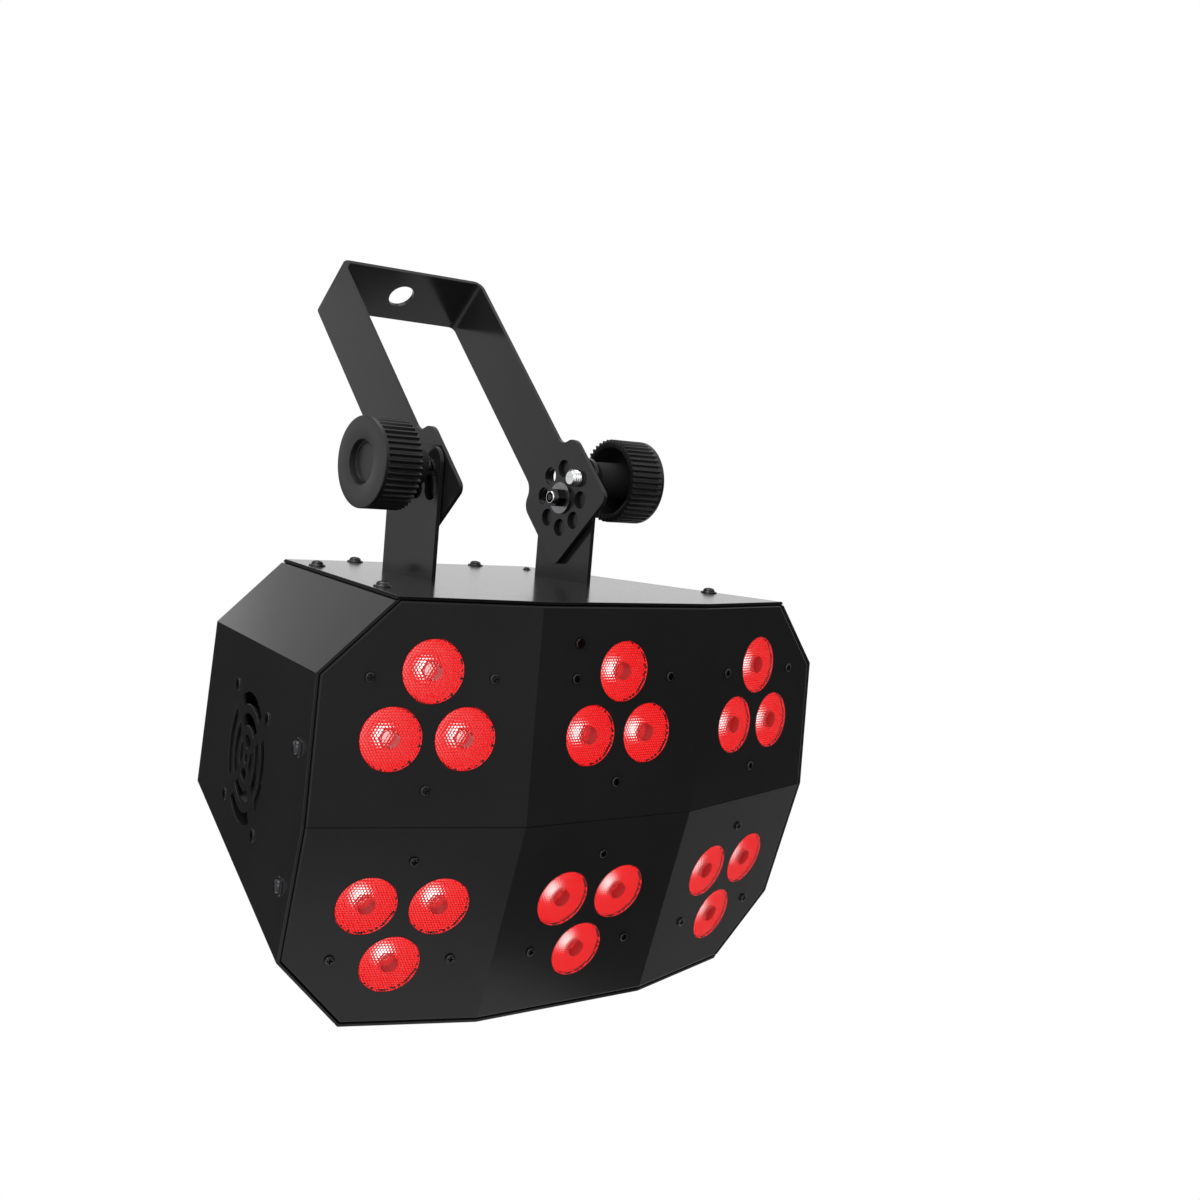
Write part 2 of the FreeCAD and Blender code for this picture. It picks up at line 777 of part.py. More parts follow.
def yoke():
    outer = yoke_face
    inner = yoke_inner
    top = yoke_reach + yoke_sheet
    points = [V(-outer, 0, 0), V(-outer, top, 0), V(outer, top, 0), V(outer, 0, 0),
              V(inner, 0, 0), V(inner, yoke_reach, 0), V(-inner, yoke_reach, 0), V(-inner, 0, 0)]
    bend = yoke_bend + yoke_sheet
    strap = rounded_face(points, [0, bend, bend, 0, 0, yoke_bend, yoke_bend, 0])
    half = yoke_width / 2
    strap = strap_frame.put(moved(strap.extrude(V(0, 0, yoke_width)), 0, 0, -half))
    wide = lug_half_width
    shoulder = lug_above + lug_shoulder_rise
    neck = shoulder + lug_shoulder
    outline = rounded_face(
        [V(-wide, -lug_below, 0), V(wide, -lug_below, 0), V(wide, lug_above, 0), V(half, shoulder, 0),
         V(half, neck, 0), V(-half, neck, 0), V(-half, shoulder, 0), V(-wide, lug_above, 0)],
        [lug_corner, lug_corner, lug_shoulder, lug_shoulder, 0, 0, lug_shoulder, lug_shoulder])
    lug = lug_frame.put(moved(outline.extrude(V(0, 0, yoke_sheet)), 0, 0, inner))
    other = on_other_side(lug)
    between = lug_frame.put(block(-half, half, -lug_below, neck / 2, -inner, inner))
    whole = joined([strap, lug, other]).cut(between)
    tools = [rod(0, 0, -outer - overrun, outer + overrun, bushing_radius + running_clearance)]
    for i in range(index_count):
        place = polar(index_circle, i * 360 / index_count)
        tools.append(rod(place.x, place.y, -outer - overrun, outer + overrun, index_hole_radius))
    whole = whole.cut([lug_frame.put(tool) for tool in tools])
    hook = Part.makeCylinder(hanging_hole_radius, 2 * overrun + yoke_sheet,
                             pivot + arm * (yoke_reach - overrun), arm)
    return whole.cut(hook)


def hexagon(flats, w0, w1):
    corners = [polar(flats / math.sqrt(3), 30 + 60 * i) for i in range(6)]
    face = Part.Face(Part.makePolygon(corners + corners[:1]))
    return moved(face.extrude(V(0, 0, w1 - w0)), 0, 0, w0)


bushing_face = yoke_face + face_clearance
bushing_end = yoke_inner - face_clearance
washer_end = bushing_end - washer_sheet
nut_end = washer_end - nut_height
collar_end = nut_end - nut_collar_height


def pivot_bolt():
    head = rod(0, 0, riser_face, riser_face + bolt_head_height, bolt_head_radius)
    rim = [e for e in head.Edges if e.CenterOfMass.z > riser_face + bolt_head_height / 2 and e.Closed]
    head = head.makeFillet(bolt_head_height * bolt_head_round_share, rim[:1])
    socket = hexagon(bolt_socket_flats, riser_face + bolt_head_height - bolt_socket_depth,
                     riser_face + bolt_head_height + overrun)
    head = head.cut(socket)
    return head.fuse(rod(0, 0, collar_end - bolt_stand_out, riser_face, bolt_radius)).removeSplitter()


def pivot_bushing():
    solid = rod(0, 0, bushing_face, riser_face - riser_sheet, bushing_flange)
    solid = solid.fuse(rod(0, 0, bushing_end, bushing_face, bushing_radius))
    return solid.removeSplitter().cut(rod(0, 0, 0, riser_face, bolt_radius))


def friction_disc():
    """Nylon disc on the outer face of the yoke's lug, with holes for the stud and the spare places."""
    disc = rod(0, 0, yoke_face, yoke_face + friction_sheet, friction_radius)
    tools = [rod(0, 0, 0, riser_face, friction_bore)]
    for angle in [stud_angle] + spare_index_angles:
        place = polar(index_circle, angle)
        tools.append(rod(place.x, place.y, 0, riser_face, index_hole_radius))
    return disc.cut(tools)


def pivot_washer():
    return rod(0, 0, washer_end, bushing_end, washer_radius).cut(rod(0, 0, 0, riser_face, bolt_radius))


def pivot_nut():
    nut = hexagon(nut_flats, nut_end, washer_end)
    nut = nut.fuse(rod(0, 0, collar_end, nut_end, nut_collar_radius)).removeSplitter()
    return nut.cut(rod(0, 0, 0, riser_face, bolt_radius))


stud_head = knob_hub_end + stud_bite


def knob():
    """Ribbed knob on the stud's axis, in a frame whose w points away from the housing."""
    outline = []
    step = 360 / knob_rib_count
    root = knob_radius - knob_groove
    for i in range(knob_rib_count):
        middle = i * step
        outline.append(polar(root, middle - step / 2 + step * knob_rib_share / 2))
        outline.append(polar(knob_radius, middle - step * knob_rib_share / 2))
        outline.append(polar(knob_radius, middle + step * knob_rib_share / 2))
        outline.append(polar(root, middle + step / 2 - step * knob_rib_share / 2))
    rim = Part.Face(Part.makePolygon(outline + outline[:1]))
    body = moved(rim.extrude(V(0, 0, knob_face - knob_back)), 0, 0, knob_back)
    envelope = turned([
        (0, knob_back), (knob_radius, knob_back), (knob_radius, knob_face - knob_taper_height),
        (knob_radius - knob_taper, knob_face), (0, knob_face)])
    body = body.common(envelope)
    pocket = rod(0, 0, knob_back - overrun, knob_face - knob_face_sheet, root - knob_wall)
    pocket = pocket.cut(rod(0, 0, knob_back - 2 * overrun, knob_face, knob_hub_radius))
    body = body.cut(pocket)
    body = body.cut(rod(0, 0, knob_face - knob_recess_depth, knob_face + overrun, knob_recess_radius))
    hub = rod(0, 0, knob_hub_end, knob_back, knob_hub_radius)
    body = joined([body, hub])
    return body.cut(rod(0, 0, knob_hub_end - overrun, stud_head, stud_radius))


def stud():
    end = rod(0, 0, stud_end, stud_head, stud_radius)
    rim = [e for e in end.Edges if e.CenterOfMass.z < stud_end + stud_tip_chamfer and e.Closed]
    return end.makeChamfer(stud_tip_chamfer, rim[:1])


stud_frame = Frame(pivot_frame.point(stud_place.x, stud_place.y, 0), Y, Z)


# Fan, in the left side panel's frame.
fan_face = -sheet
fan_rear = -sheet - fan_thickness


def fan_frame_part():
    frame = rounded_block(fan_size, fan_size, fan_corner, fan_rear, fan_face)
    frame = frame.cut(rod(0, 0, fan_rear - overrun, fan_face + overrun, fan_bore))
    solids = [frame, rod(0, 0, fan_rear, fan_rear + fan_plate, fan_boss)]
    for i in range(4):
        strut = block(fan_boss - fan_strut, fan_bore + fan_strut, -fan_strut / 2, fan_strut / 2,
                      fan_rear, fan_rear + fan_plate)
        strut.rotate(ORIGIN, Z, 45 + 90 * i)
        solids.append(strut)
    whole = joined(solids)
    holes = [rod(u, v, fan_rear - overrun, fan_face + overrun, m3_shank) for u, v in fan_screw_places]
    holes.append(rod(0, 0, fan_rear - overrun, fan_face, fan_shaft + running_clearance))
    return whole.cut(holes)


def fan_rotor_part():
    low = fan_rear + fan_plate + face_clearance
    high = fan_face - fan_rotor_gap
    solids = [rod(0, 0, low, high, fan_boss), rod(0, 0, fan_rear + face_clearance, low, fan_shaft)]
    span = fan_bore - fan_blade_gap
    height = high - low
    for i in range(fan_blade_count):
        blade = block(0, span, -fan_blade_sheet / 2, fan_blade_sheet / 2, -height, height)
        blade.rotate(ORIGIN, X, fan_blade_pitch)
        blade.translate(V(0, 0, (low + high) / 2))
        blade.rotate(ORIGIN, Z, i * 360 / fan_blade_count)
        solids.append(blade)
    whole = joined(solids)
    envelope = rod(0, 0, low, high, span).fuse(rod(0, 0, fan_rear + face_clearance, low, fan_shaft))
    return whole.common(envelope.removeSplitter())


# Back panel frame: u towards -X, v up the panel, w out of it to the back.
back_frame = Frame(DEEP * housing_depth, -X, HIGH)


def d_outline(width, height, cut, w0, w1):
    """Oblong with two cut lower corners, as an appliance plug has."""
    points = [V(-width / 2, height / 2, w0), V(-width / 2, -height / 2 + cut, w0),
              V(-width / 2 + cut, -height / 2, w0), V(width / 2 - cut, -height / 2, w0),
              V(width / 2, -height / 2 + cut, w0), V(width / 2, height / 2, w0)]
    return Part.Face(Part.makePolygon(points + points[:1])).extrude(V(0, 0, w1 - w0))


def back_holes():
    gap = panel_hole_clearance
    rear = -sheet - overrun
    holes = []
    for place in (power_inlet_place, power_outlet_place):
        holes.append(rounded_block(power_body_width + 2 * gap, power_body_height + 2 * gap, power_body_corner,
                                   rear, overrun, place[0], place[1]))
    for place in (signal_inlet_place, signal_outlet_place):
        holes.append(rod(place[0], place[1], rear, overrun, signal_body_radius + gap))
        for side in (-1, 1):
            holes.append(rod(place[0] + side * signal_screw_side, place[1] + side * signal_screw_rise,
                             rear, overrun, m3_shank + screw_clearance))
    holes.append(rod(fuse_place[0], fuse_place[1], rear, overrun, fuse_barrel_radius + gap))
    holes.append(block(display_place[0] - display_width / 2 + display_lip,
                       display_place[0] + display_width / 2 - display_lip,
                       display_place[1] - display_height / 2 + display_lip,
                       display_place[1] + display_height / 2 - display_lip, rear, overrun))
    for u in button_places:
        holes.append(rod(u, button_height, rear, overrun, button_radius + button_clearance))
    for side in (-1, 1):
        holes.append(rod(eye_place[0] + side * eye_screw_side, eye_place[1], rear, overrun,
                         m3_shank + screw_clearance))
    return holes


def back_panel():
    """Back panel: a tray whose flange lies along the covers."""
    tray = volume(0, gap_inset, gap_inset).cut(volume(-reach / 4, gap_inset + sheet, gap_inset + sheet, sheet))
    ahead = beyond(DEEP * (housing_depth - back_flange), -DEEP)
    tray = tray.cut(ahead)
    return tray.cut([back_frame.put(hole) for hole in back_holes()])


def power_socket(is_inlet):
    flange = rounded_block(power_flange_width, power_flange_height, power_flange_corner, 0, power_flange_sheet)
    body = rounded_block(power_body_width, power_body_height, power_body_corner, -power_body_depth, 0)
    whole = joined([flange, body])
    face = power_flange_sheet
    pins = [(-power_pin_pitch, 0.0), (power_pin_pitch, 0.0), (0.0, power_pin_rise)]
    if is_inlet:
        floor = face - power_cavity_depth
        cavity = d_outline(power_cavity_width, power_cavity_height, power_cavity_cut, floor, face + overrun)
        cavity.rotate(ORIGIN, Z, 180)
        whole = whole.cut(cavity)
        blades = [block(u - power_pin_width / 2, u + power_pin_width / 2,
                        v - power_pin_height / 2, v + power_pin_height / 2, floor, floor + power_pin_length)
                  for u, v in pins]
        return joined([whole] + blades)
    gap = power_slot_clearance
    slots = [block(u - power_pin_width / 2 - gap, u + power_pin_width / 2 + gap,
                   v - power_pin_height / 2 - gap, v + power_pin_height / 2 + gap,
                   face - power_pin_length, face + overrun)
             for u, v in pins]
    return whole.cut(slots)


def signal_socket(is_inlet):
    flange = rounded_block(signal_flange_width, signal_flange_height, signal_flange_corner, 0, signal_flange_sheet)
    whole = joined([flange, rod(0, 0, -signal_body_depth, 0, signal_body_radius)])
    face = signal_flange_sheet
    pins = [polar(signal_pin_circle, angle) for angle in signal_pin_angles]
    tools = []
    for side in (-1, 1):
        tools.append(rod(side * signal_screw_side, side * signal_screw_rise, -overrun, overrun,
                         m3_shank + screw_clearance))
    if is_inlet:
        floor = face - signal_cavity_depth
        tools.append(rod(0, 0, floor, face + overrun, signal_cavity_radius))
        whole = whole.cut(tools)
        return joined([whole] + [rod(p.x, p.y, floor, floor + signal_pin_length, signal_pin_radius) for p in pins])
    hole = signal_pin_radius + signal_socket_clearance
    tools += [rod(p.x, p.y, face - signal_socket_depth, face + overrun, hole) for p in pins]
    tools.append(block(-latch_width / 2 - latch_clearance, latch_width / 2 + latch_clearance,
                       latch_rise - latch_height / 2 - latch_clearance,
                       latch_rise + latch_height / 2 + latch_clearance,
                       -latch_root - latch_travel - face_clearance, face + overrun))
    return whole.cut(tools)


def latch_tab():
    return block(-latch_width / 2, latch_width / 2, latch_rise - latch_height / 2, latch_rise + latch_height / 2,
                 -latch_root, signal_flange_sheet + latch_stand_out)


def fuse_holder_part():
    flange = rod(0, 0, 0, fuse_flange_sheet, fuse_flange_radius)
    whole = joined([flange, rod(0, 0, -fuse_barrel_depth, 0, fuse_barrel_radius)])
    return whole.cut(rod(0, 0, fuse_flange_sheet - fuse_bore_depth, fuse_flange_sheet + overrun, fuse_bore_radius))


def fuse_cap_part():
    low = fuse_flange_sheet + fuse_cap_gap
    high = low + fuse_cap_height
    cap = rod(0, 0, low, high, fuse_cap_radius)
    rim = [e for e in cap.Edges if e.CenterOfMass.z > (low + high) / 2 and e.Closed]
    cap = cap.makeFillet(fuse_cap_rounding, rim[:1])
    slot = block(-fuse_cap_radius, fuse_cap_radius, -fuse_slot_width / 2, fuse_slot_width / 2,
                 high - fuse_slot_depth, high + overrun)
    cap = cap.cut(slot)
    plug = rod(0, 0, fuse_flange_sheet - fuse_plug_length, low, fuse_bore_radius - fuse_plug_clearance)
    return joined([cap, plug])


def safety_eye():
    base = rounded_block(eye_base_width, eye_base_height, holder_post_radius, 0, eye_sheet)
    half = eye_base_height / 2
    tab = rounded_face([V(-half, 0, 0), V(half, 0, 0), V(half, eye_reach, 0), V(-half, eye_reach, 0)],
                       [0, 0, half * eye_round_share, half * eye_round_share]).extrude(V(0, 0, eye_sheet))
    standing = Frame(V(-eye_sheet / 2, 0, 0), Y, Z).put(tab)
    hole = Part.makeCylinder(eye_hole_radius, eye_sheet + 2 * overrun,
                             V(-eye_sheet / 2 - overrun, 0, eye_reach - half), X)
    whole = joined([base, standing]).cut(hole)
    for side in (-1, 1):
        whole = whole.cut(rod(side * eye_screw_side, 0, -overrun, eye_sheet + overrun, m3_shank + screw_clearance))
    return whole


display_board_face = -display_board_drop


def display_window():
    rear = -sheet - display_sheet
    lip = block(display_place[0] - display_width / 2, display_place[0] + display_width / 2,
                display_place[1] - display_height / 2, display_place[1] + display_height / 2, rear, -sheet)
    inset = display_lip + panel_hole_clearance
    pane = block(display_place[0] - display_width / 2 + inset, display_place[0] + display_width / 2 - inset,
                 display_place[1] - display_height / 2 + inset, display_place[1] + display_height / 2 - inset,
                 -sheet, 0)
    return joined([lip, pane])


def display_board():
    """Display board with the display, four switches and its posts to the back panel."""
    half = display_board_width / 2
    solids = [block(-half, half, display_board_low, display_board_high,
                    display_board_face - board_sheet, display_board_face)]
    margin = display_module_margin
    solids.append(block(display_place[0] - display_width / 2 + margin, display_place[0] + display_width / 2 - margin,
                        display_place[1] - display_height / 2 + margin, display_place[1] + display_height / 2 - margin,
                        display_board_face, -sheet - display_sheet))
    for u in button_places:
        side = switch_side / 2
        solids.append(block(u - side, u + side, button_height - side, button_height + side,
                            display_board_face, display_board_face + switch_height))
    for u in (-half + standoff_inset, half - standoff_inset):
        for v in (display_board_low + standoff_inset, display_board_high - standoff_inset):
            solids.append(rod(u, v, display_board_face, -sheet, standoff_radius))
    return joined(solids)


def button(u):
    switch_top = display_board_face + switch_height
    end = switch_top + button_travel + button_stop_gap
    cap = rod(u, button_height, end, button_stand_out, button_radius)
    rim_top = -sheet - running_clearance
    rim = rod(u, button_height, rim_top - button_rim_sheet, rim_top, button_radius + button_rim)
    return joined([cap, rim])


def board_on_bottom(left, right):
    """Circuit board on posts above the bottom plate, built under the top plate and mirrored."""
    top = facet_height - sheet
    face = top - standoff_height
    solids = [block(left, right, board_front, board_back, face - board_sheet, face)]
    for x in (left + standoff_inset, right - standoff_inset):
        for y in (board_front + standoff_inset, board_back - standoff_inset):
            solids.append(rod(x, y, face, top, standoff_radius))
    return solids, face - board_sheet


def power_supply():
    solids, face = board_on_bottom(supply_left, supply_right)
    middle = (supply_left + supply_right) / 2
    front = board_front + transformer_inset
    solids.append(block(middle - transformer_size / 2, middle + transformer_size / 2, front, front + transformer_size,
                        face - transformer_height, face))
    row = front + transformer_size + capacitor_pitch
    for i in (-1, 0, 1):
        solids.append(rod(middle + i * capacitor_pitch, row, face - capacitor_height, face, capacitor_radius))
    return in_lower_half(joined(solids))


def main_board():
    solids, face = board_on_bottom(control_left, control_right)
    middle = (control_left + control_right) / 2
    centre = (board_front + board_back) / 2
    solids.append(block(middle - chip_side / 2, middle + chip_side / 2, centre - chip_side / 2, centre + chip_side / 2,
                        face - chip_height, face))
    for y in (board_front + header_inset, board_back - header_inset - header_depth):
        solids.append(block(middle - header_width / 2, middle + header_width / 2, y, y + header_depth,
                            face - header_height, face))
    return in_lower_half(joined(solids))


def infrared_eye():
    """Receiver whose small dome looks through a hole in the upper middle facet."""
    half = ir_body / 2
    body = block(ir_x - half, ir_x + half, ir_height - half, ir_height + half, -sheet - ir_body_depth, -sheet)
    stem = rod(ir_x, ir_height, -sheet, 0, ir_radius - lens_clearance)
    dome = Part.makeSphere(ir_radius - lens_clearance, V(ir_x, ir_height, 0), Z, 0, 90, 360)
    dome = dome.common(block(ir_x - half, ir_x + half, ir_height - half, ir_height + half, 0, ir_lens_height))
    return joined([body, stem, dome])


# The origin of the finished part: the middle of the hanging hole.
hook_point = pivot + arm * (yoke_reach + yoke_sheet / 2)
os.makedirs("parts", exist_ok=True)


def save(name, shapes):
    if not isinstance(shapes, list):
        shapes = [shapes]
    solids = []
    for shape in shapes:
        solids += shape.Solids
    whole = solids[0] if len(solids) == 1 else Part.makeCompound(solids)
    whole = whole.copy()
    whole.translate(-hook_point)
    whole.exportStep("parts/" + name + ".step")
    print(name, len(solids), "valid" if whole.isValid() else "INVALID", round(whole.Volume))


def both_sides(frame, shape):
    """A shape on the right side and its mirror image on the left."""
    placed = frame.put(shape)
    return [placed, on_other_side(placed)]


# Housing sheets
save("top_plate", top_plate(True))
save("bottom_plate", in_lower_half(top_plate(False)))
left_panel = side_panel()
front_side_flange_holes = [side_frame.put(rod(u, v, -cover_length - overrun, overrun, cover_shank + screw_clearance))
                           for u, v in side_screw_places]
front_side_flange_holes += [on_other_side(hole) for hole in front_side_flange_holes]
save("side_panel_left", left_panel)
save("side_panel_right", on_other_side(left_panel))
front = front_panel()
ir_hole = facet_frames["centre"].put(rod(ir_x, ir_height, -sheet - overrun, overrun, ir_radius))
save("upper_front_panel", front.cut(front_side_flange_holes + [ir_hole]))
save("lower_front_panel", in_lower_half(front).cut(front_side_flange_holes))
rear_panel = back_panel().cut(cover_screw_holes())
save("back_panel", rear_panel)
save("infrared_eye", facet_frames["centre"].put(infrared_eye()))

# Optics
seated_screw = pan_screw(-board_rear + m3_bite)
screw_rows = {"upper": [], "lower": []}
for side, frame in facet_frames.items():
    trio = [frame.put(moved(lens(), u, v)) for u, v in lens_places]
    screws = [frame.put(moved(seated_screw, u, v)) for u, v in facet_screw_places]
    save("lens_upper_" + side, trio)
    save("lens_lower_" + side, [in_lower_half(shape) for shape in trio])
    screw_rows["upper"] += screws
    screw_rows["lower"] += [in_lower_half(shape) for shape in screws]
row_pieces = {"lens_holders": lens_holder(), "led_boards": led_board(), "heatsinks": heatsink()}
room_inset = gap_inset + sheet + board_clearance
room = volume(0, room_inset, room_inset, 0)
for name, shape in row_pieces.items():
    placed = [frame.put(shape).common(room) for frame in facet_frames.values()]
    save(name + "_upper", placed)
    save(name + "_lower", [in_lower_half(piece) for piece in placed])
chips = []
for frame in facet_frames.values():
    chips += [frame.put(chip) for chip in emitters()]
save("emitters", chips + [in_lower_half(chip) for chip in chips])
save("front_screws_upper", screw_rows["upper"])
save("front_screws_lower", screw_rows["lower"])

# Cover screws
cover_screws = []
for x, y in top_screw_places:
    for side in (-1, 1):
        cover_screws.append(moved(flange_screw(), side * x, y, facet_height))
ground_screw = moved(pan_screw(m3_bite + sheet), ground_screw_x, ground_screw_y, facet_height)
save("top_screws", cover_screws + [ground_screw])
save("bottom_screws", [in_lower_half(screw) for screw in cover_screws])
left_screws = [side_frame.put(moved(flange_screw(), u, v)) for u, v in side_screw_places]
save("side_screws", left_screws + [on_other_side(screw) for screw in left_screws])

# Fan
fan_screw = pan_screw(sheet + fan_thickness, low_head, low_head_height)
save("fan_frame", side_frame.put(fan_frame_part()))
save("fan_rotor", side_frame.put(fan_rotor_part()))
save("fan_screws", [side_frame.put(moved(fan_screw, u, v)) for u, v in fan_screw_places])

# Risers, pivots and yoke
right_riser = riser()
save("riser_right", right_riser)
save("riser_left", on_other_side(right_riser))
foot_under = facet_height - sheet - riser_sheet
riser_screws = []
for v in (-riser_screw_side, riser_screw_side):
    screw = flange_screw()
    screw.rotate(ORIGIN, X, 180)
    screw = moved(screw, riser_face - riser_sheet - riser_screw_in, pivot_y + v, foot_under)
    screw = screw.common(block(-reach, reach, -reach, reach, -reach, facet_height - sheet))
    riser_screws += [screw, on_other_side(screw)]
save("riser_screws", riser_screws)
save("yoke", yoke())
save("pivot_bolts", both_sides(pivot_frame, pivot_bolt()))
save("pivot_bushings", both_sides(pivot_frame, pivot_bushing()))
save("friction_discs", both_sides(pivot_frame, friction_disc()))
save("pivot_washers", both_sides(pivot_frame, pivot_washer()))
save("pivot_nuts", both_sides(pivot_frame, pivot_nut()))
for name, shape in {"knob": knob(), "stud": stud()}.items():
    right, left = both_sides(stud_frame, shape)
    save(name + "_right", right)
    save(name + "_left", left)

# Back panel
def at_back(shape, place=(0.0, 0.0)):
    return back_frame.put(moved(shape, place[0], place[1]))


save("power_inlet", at_back(power_socket(True), power_inlet_place))
save("power_outlet", at_back(power_socket(False), power_outlet_place))
save("fuse_holder", at_back(fuse_holder_part(), fuse_place))
save("fuse_cap", at_back(fuse_cap_part(), fuse_place))
save("signal_inlet", at_back(signal_socket(True), signal_inlet_place))
save("signal_outlet", at_back(signal_socket(False), signal_outlet_place))
save("signal_latch", at_back(latch_tab(), signal_outlet_place))
save("display_window", at_back(display_window()))
save("display_board", at_back(display_board()))
for number, u in enumerate(button_places):
    save("menu_button_" + str(number + 1), at_back(button(u)))
save("safety_eye", at_back(safety_eye(), eye_place))
short_screw = pan_screw(m3_bite + sheet)
back_screws = []
for place in (signal_inlet_place, signal_outlet_place):
    for side in (-1, 1):
        back_screws.append(at_back(moved(short_screw, side * signal_screw_side, side * signal_screw_rise,
                                         signal_flange_sheet), place))
for side in (-1, 1):
    back_screws.append(at_back(moved(short_screw, side * eye_screw_side, 0, eye_sheet), eye_place))
save("back_screws", back_screws)

# Electronics
save("power_supply_board", power_supply())
save("main_control_board", main_board())
print("hook point", hook_point.x, hook_point.y, hook_point.z)
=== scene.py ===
import json
import math

import bmesh
import bpy
from mathutils import Matrix, Vector


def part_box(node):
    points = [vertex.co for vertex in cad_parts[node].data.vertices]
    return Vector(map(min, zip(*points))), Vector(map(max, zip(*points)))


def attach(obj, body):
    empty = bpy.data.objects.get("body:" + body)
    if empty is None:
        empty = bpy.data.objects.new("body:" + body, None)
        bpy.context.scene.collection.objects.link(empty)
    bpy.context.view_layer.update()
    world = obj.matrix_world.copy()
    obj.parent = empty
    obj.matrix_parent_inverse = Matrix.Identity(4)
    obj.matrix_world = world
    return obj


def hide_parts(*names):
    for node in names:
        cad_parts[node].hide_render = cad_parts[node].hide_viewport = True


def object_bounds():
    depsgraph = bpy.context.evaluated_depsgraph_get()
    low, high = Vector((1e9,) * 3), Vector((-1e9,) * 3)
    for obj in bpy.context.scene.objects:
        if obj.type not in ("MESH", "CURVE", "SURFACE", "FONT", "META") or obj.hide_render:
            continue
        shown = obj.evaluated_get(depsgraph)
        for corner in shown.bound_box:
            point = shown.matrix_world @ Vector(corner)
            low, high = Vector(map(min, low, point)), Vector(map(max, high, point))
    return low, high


# Stage wash light: black powder-coated sheet steel, lit red lenses and moulded nylon knobs.
# Lengths are in metres, in the frame of the part; the origin is the hanging hole of the yoke.
# A profile is a list of (radius, height) in millimetres, for a piece turned about Z.
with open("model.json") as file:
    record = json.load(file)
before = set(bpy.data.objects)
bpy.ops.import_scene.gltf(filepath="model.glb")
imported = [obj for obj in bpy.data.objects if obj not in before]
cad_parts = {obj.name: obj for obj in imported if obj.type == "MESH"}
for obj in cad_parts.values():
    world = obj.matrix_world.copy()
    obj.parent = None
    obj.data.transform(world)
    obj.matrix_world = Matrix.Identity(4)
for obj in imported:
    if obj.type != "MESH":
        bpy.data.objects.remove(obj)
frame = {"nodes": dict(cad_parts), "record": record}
cad_low, cad_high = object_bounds()
nodes = frame["nodes"]
record = frame["record"]
MM = 0.001
# Two places that lie closer than this count as one.
HAIR = 0.01 * MM
WHITE = (1, 1, 1, 1)

# The camera, solved from the photograph's straight edges and lens outlines.
CAMERA_PLACE = Vector((-0.42632, -0.68939, -0.07715))
CAMERA_RIGHT = Vector((0.77157, -0.63070, 0.08311))
CAMERA_DOWN = Vector((0.01039, -0.11813, -0.99294))
CAMERA_FORWARD = Vector((0.63606, 0.76699, -0.08459))
PHOTO_WIDTH = 1200
FOCAL_PIXELS = 1583.9
SENSOR = 36.0
SHIFT_X = 0.00057
SHIFT_Y = 0.0015


def make_camera():
    data = bpy.data.cameras.new("photo_camera")
    data.sensor_width = SENSOR
    data.lens = FOCAL_PIXELS / PHOTO_WIDTH * SENSOR
    data.shift_x = SHIFT_X
    data.shift_y = SHIFT_Y
    data.clip_start = 0.01
    data.clip_end = 50.0
    camera = bpy.data.objects.new("photo_camera", data)
    bpy.context.scene.collection.objects.link(camera)
    turn = Matrix((CAMERA_RIGHT, -CAMERA_DOWN, -CAMERA_FORWARD)).transposed()
    camera.matrix_world = Matrix.Translation(CAMERA_PLACE) @ turn.to_4x4()
    bpy.context.scene.camera = camera


make_camera()


# Materials. A Mix node of colours has its two colours and its result on these sockets.
MIX_A, MIX_B, MIX_RESULT = 6, 7, 2


def linear(hex_colour):
    """An sRGB hex colour as the linear values that the shaders take."""
    values = [int(hex_colour[i:i + 2], 16) / 255 for i in (1, 3, 5)]
    values = [v / 12.92 if v <= 0.04045 else ((v + 0.055) / 1.055) ** 2.4 for v in values]
    return (*values, 1.0)


def add(tree, kind, settings=None, inputs=None, links=None):
    """Adds a node: its properties, its sockets' values, and the sources linked to its sockets."""
    node = tree.nodes.new(kind)
    for name, value in (settings or {}).items():
        setattr(node, name, value)
    for name, value in (inputs or {}).items():
        node.inputs[name].default_value = value
    for name, source in (links or {}).items():
        tree.links.new(source, node.inputs[name])
    return node


def new_material(name, constants):
    """A material whose shader holds, on its own sockets, what is the same all over the surface."""
    material = bpy.data.materials.new(name)
    material.use_nodes = True
    tree = material.node_tree
    shader = tree.nodes["Principled BSDF"]
    for socket, value in constants.items():
        shader.inputs[socket].default_value = value
    return material, tree, shader


def feed(tree, shader, sources):
    """Links what varies over the surface to the shader."""
    for socket, source in sources.items():
        tree.links.new(source, shader.inputs[socket])


# Orange peel of a powder coat is about 0.9 mm from bump to bump; its tone drifts over 60 mm.
PEEL_SIZE = 0.9 * MM
DRIFT_SIZE = 60 * MM
PEEL_HEIGHT = 0.03 * MM


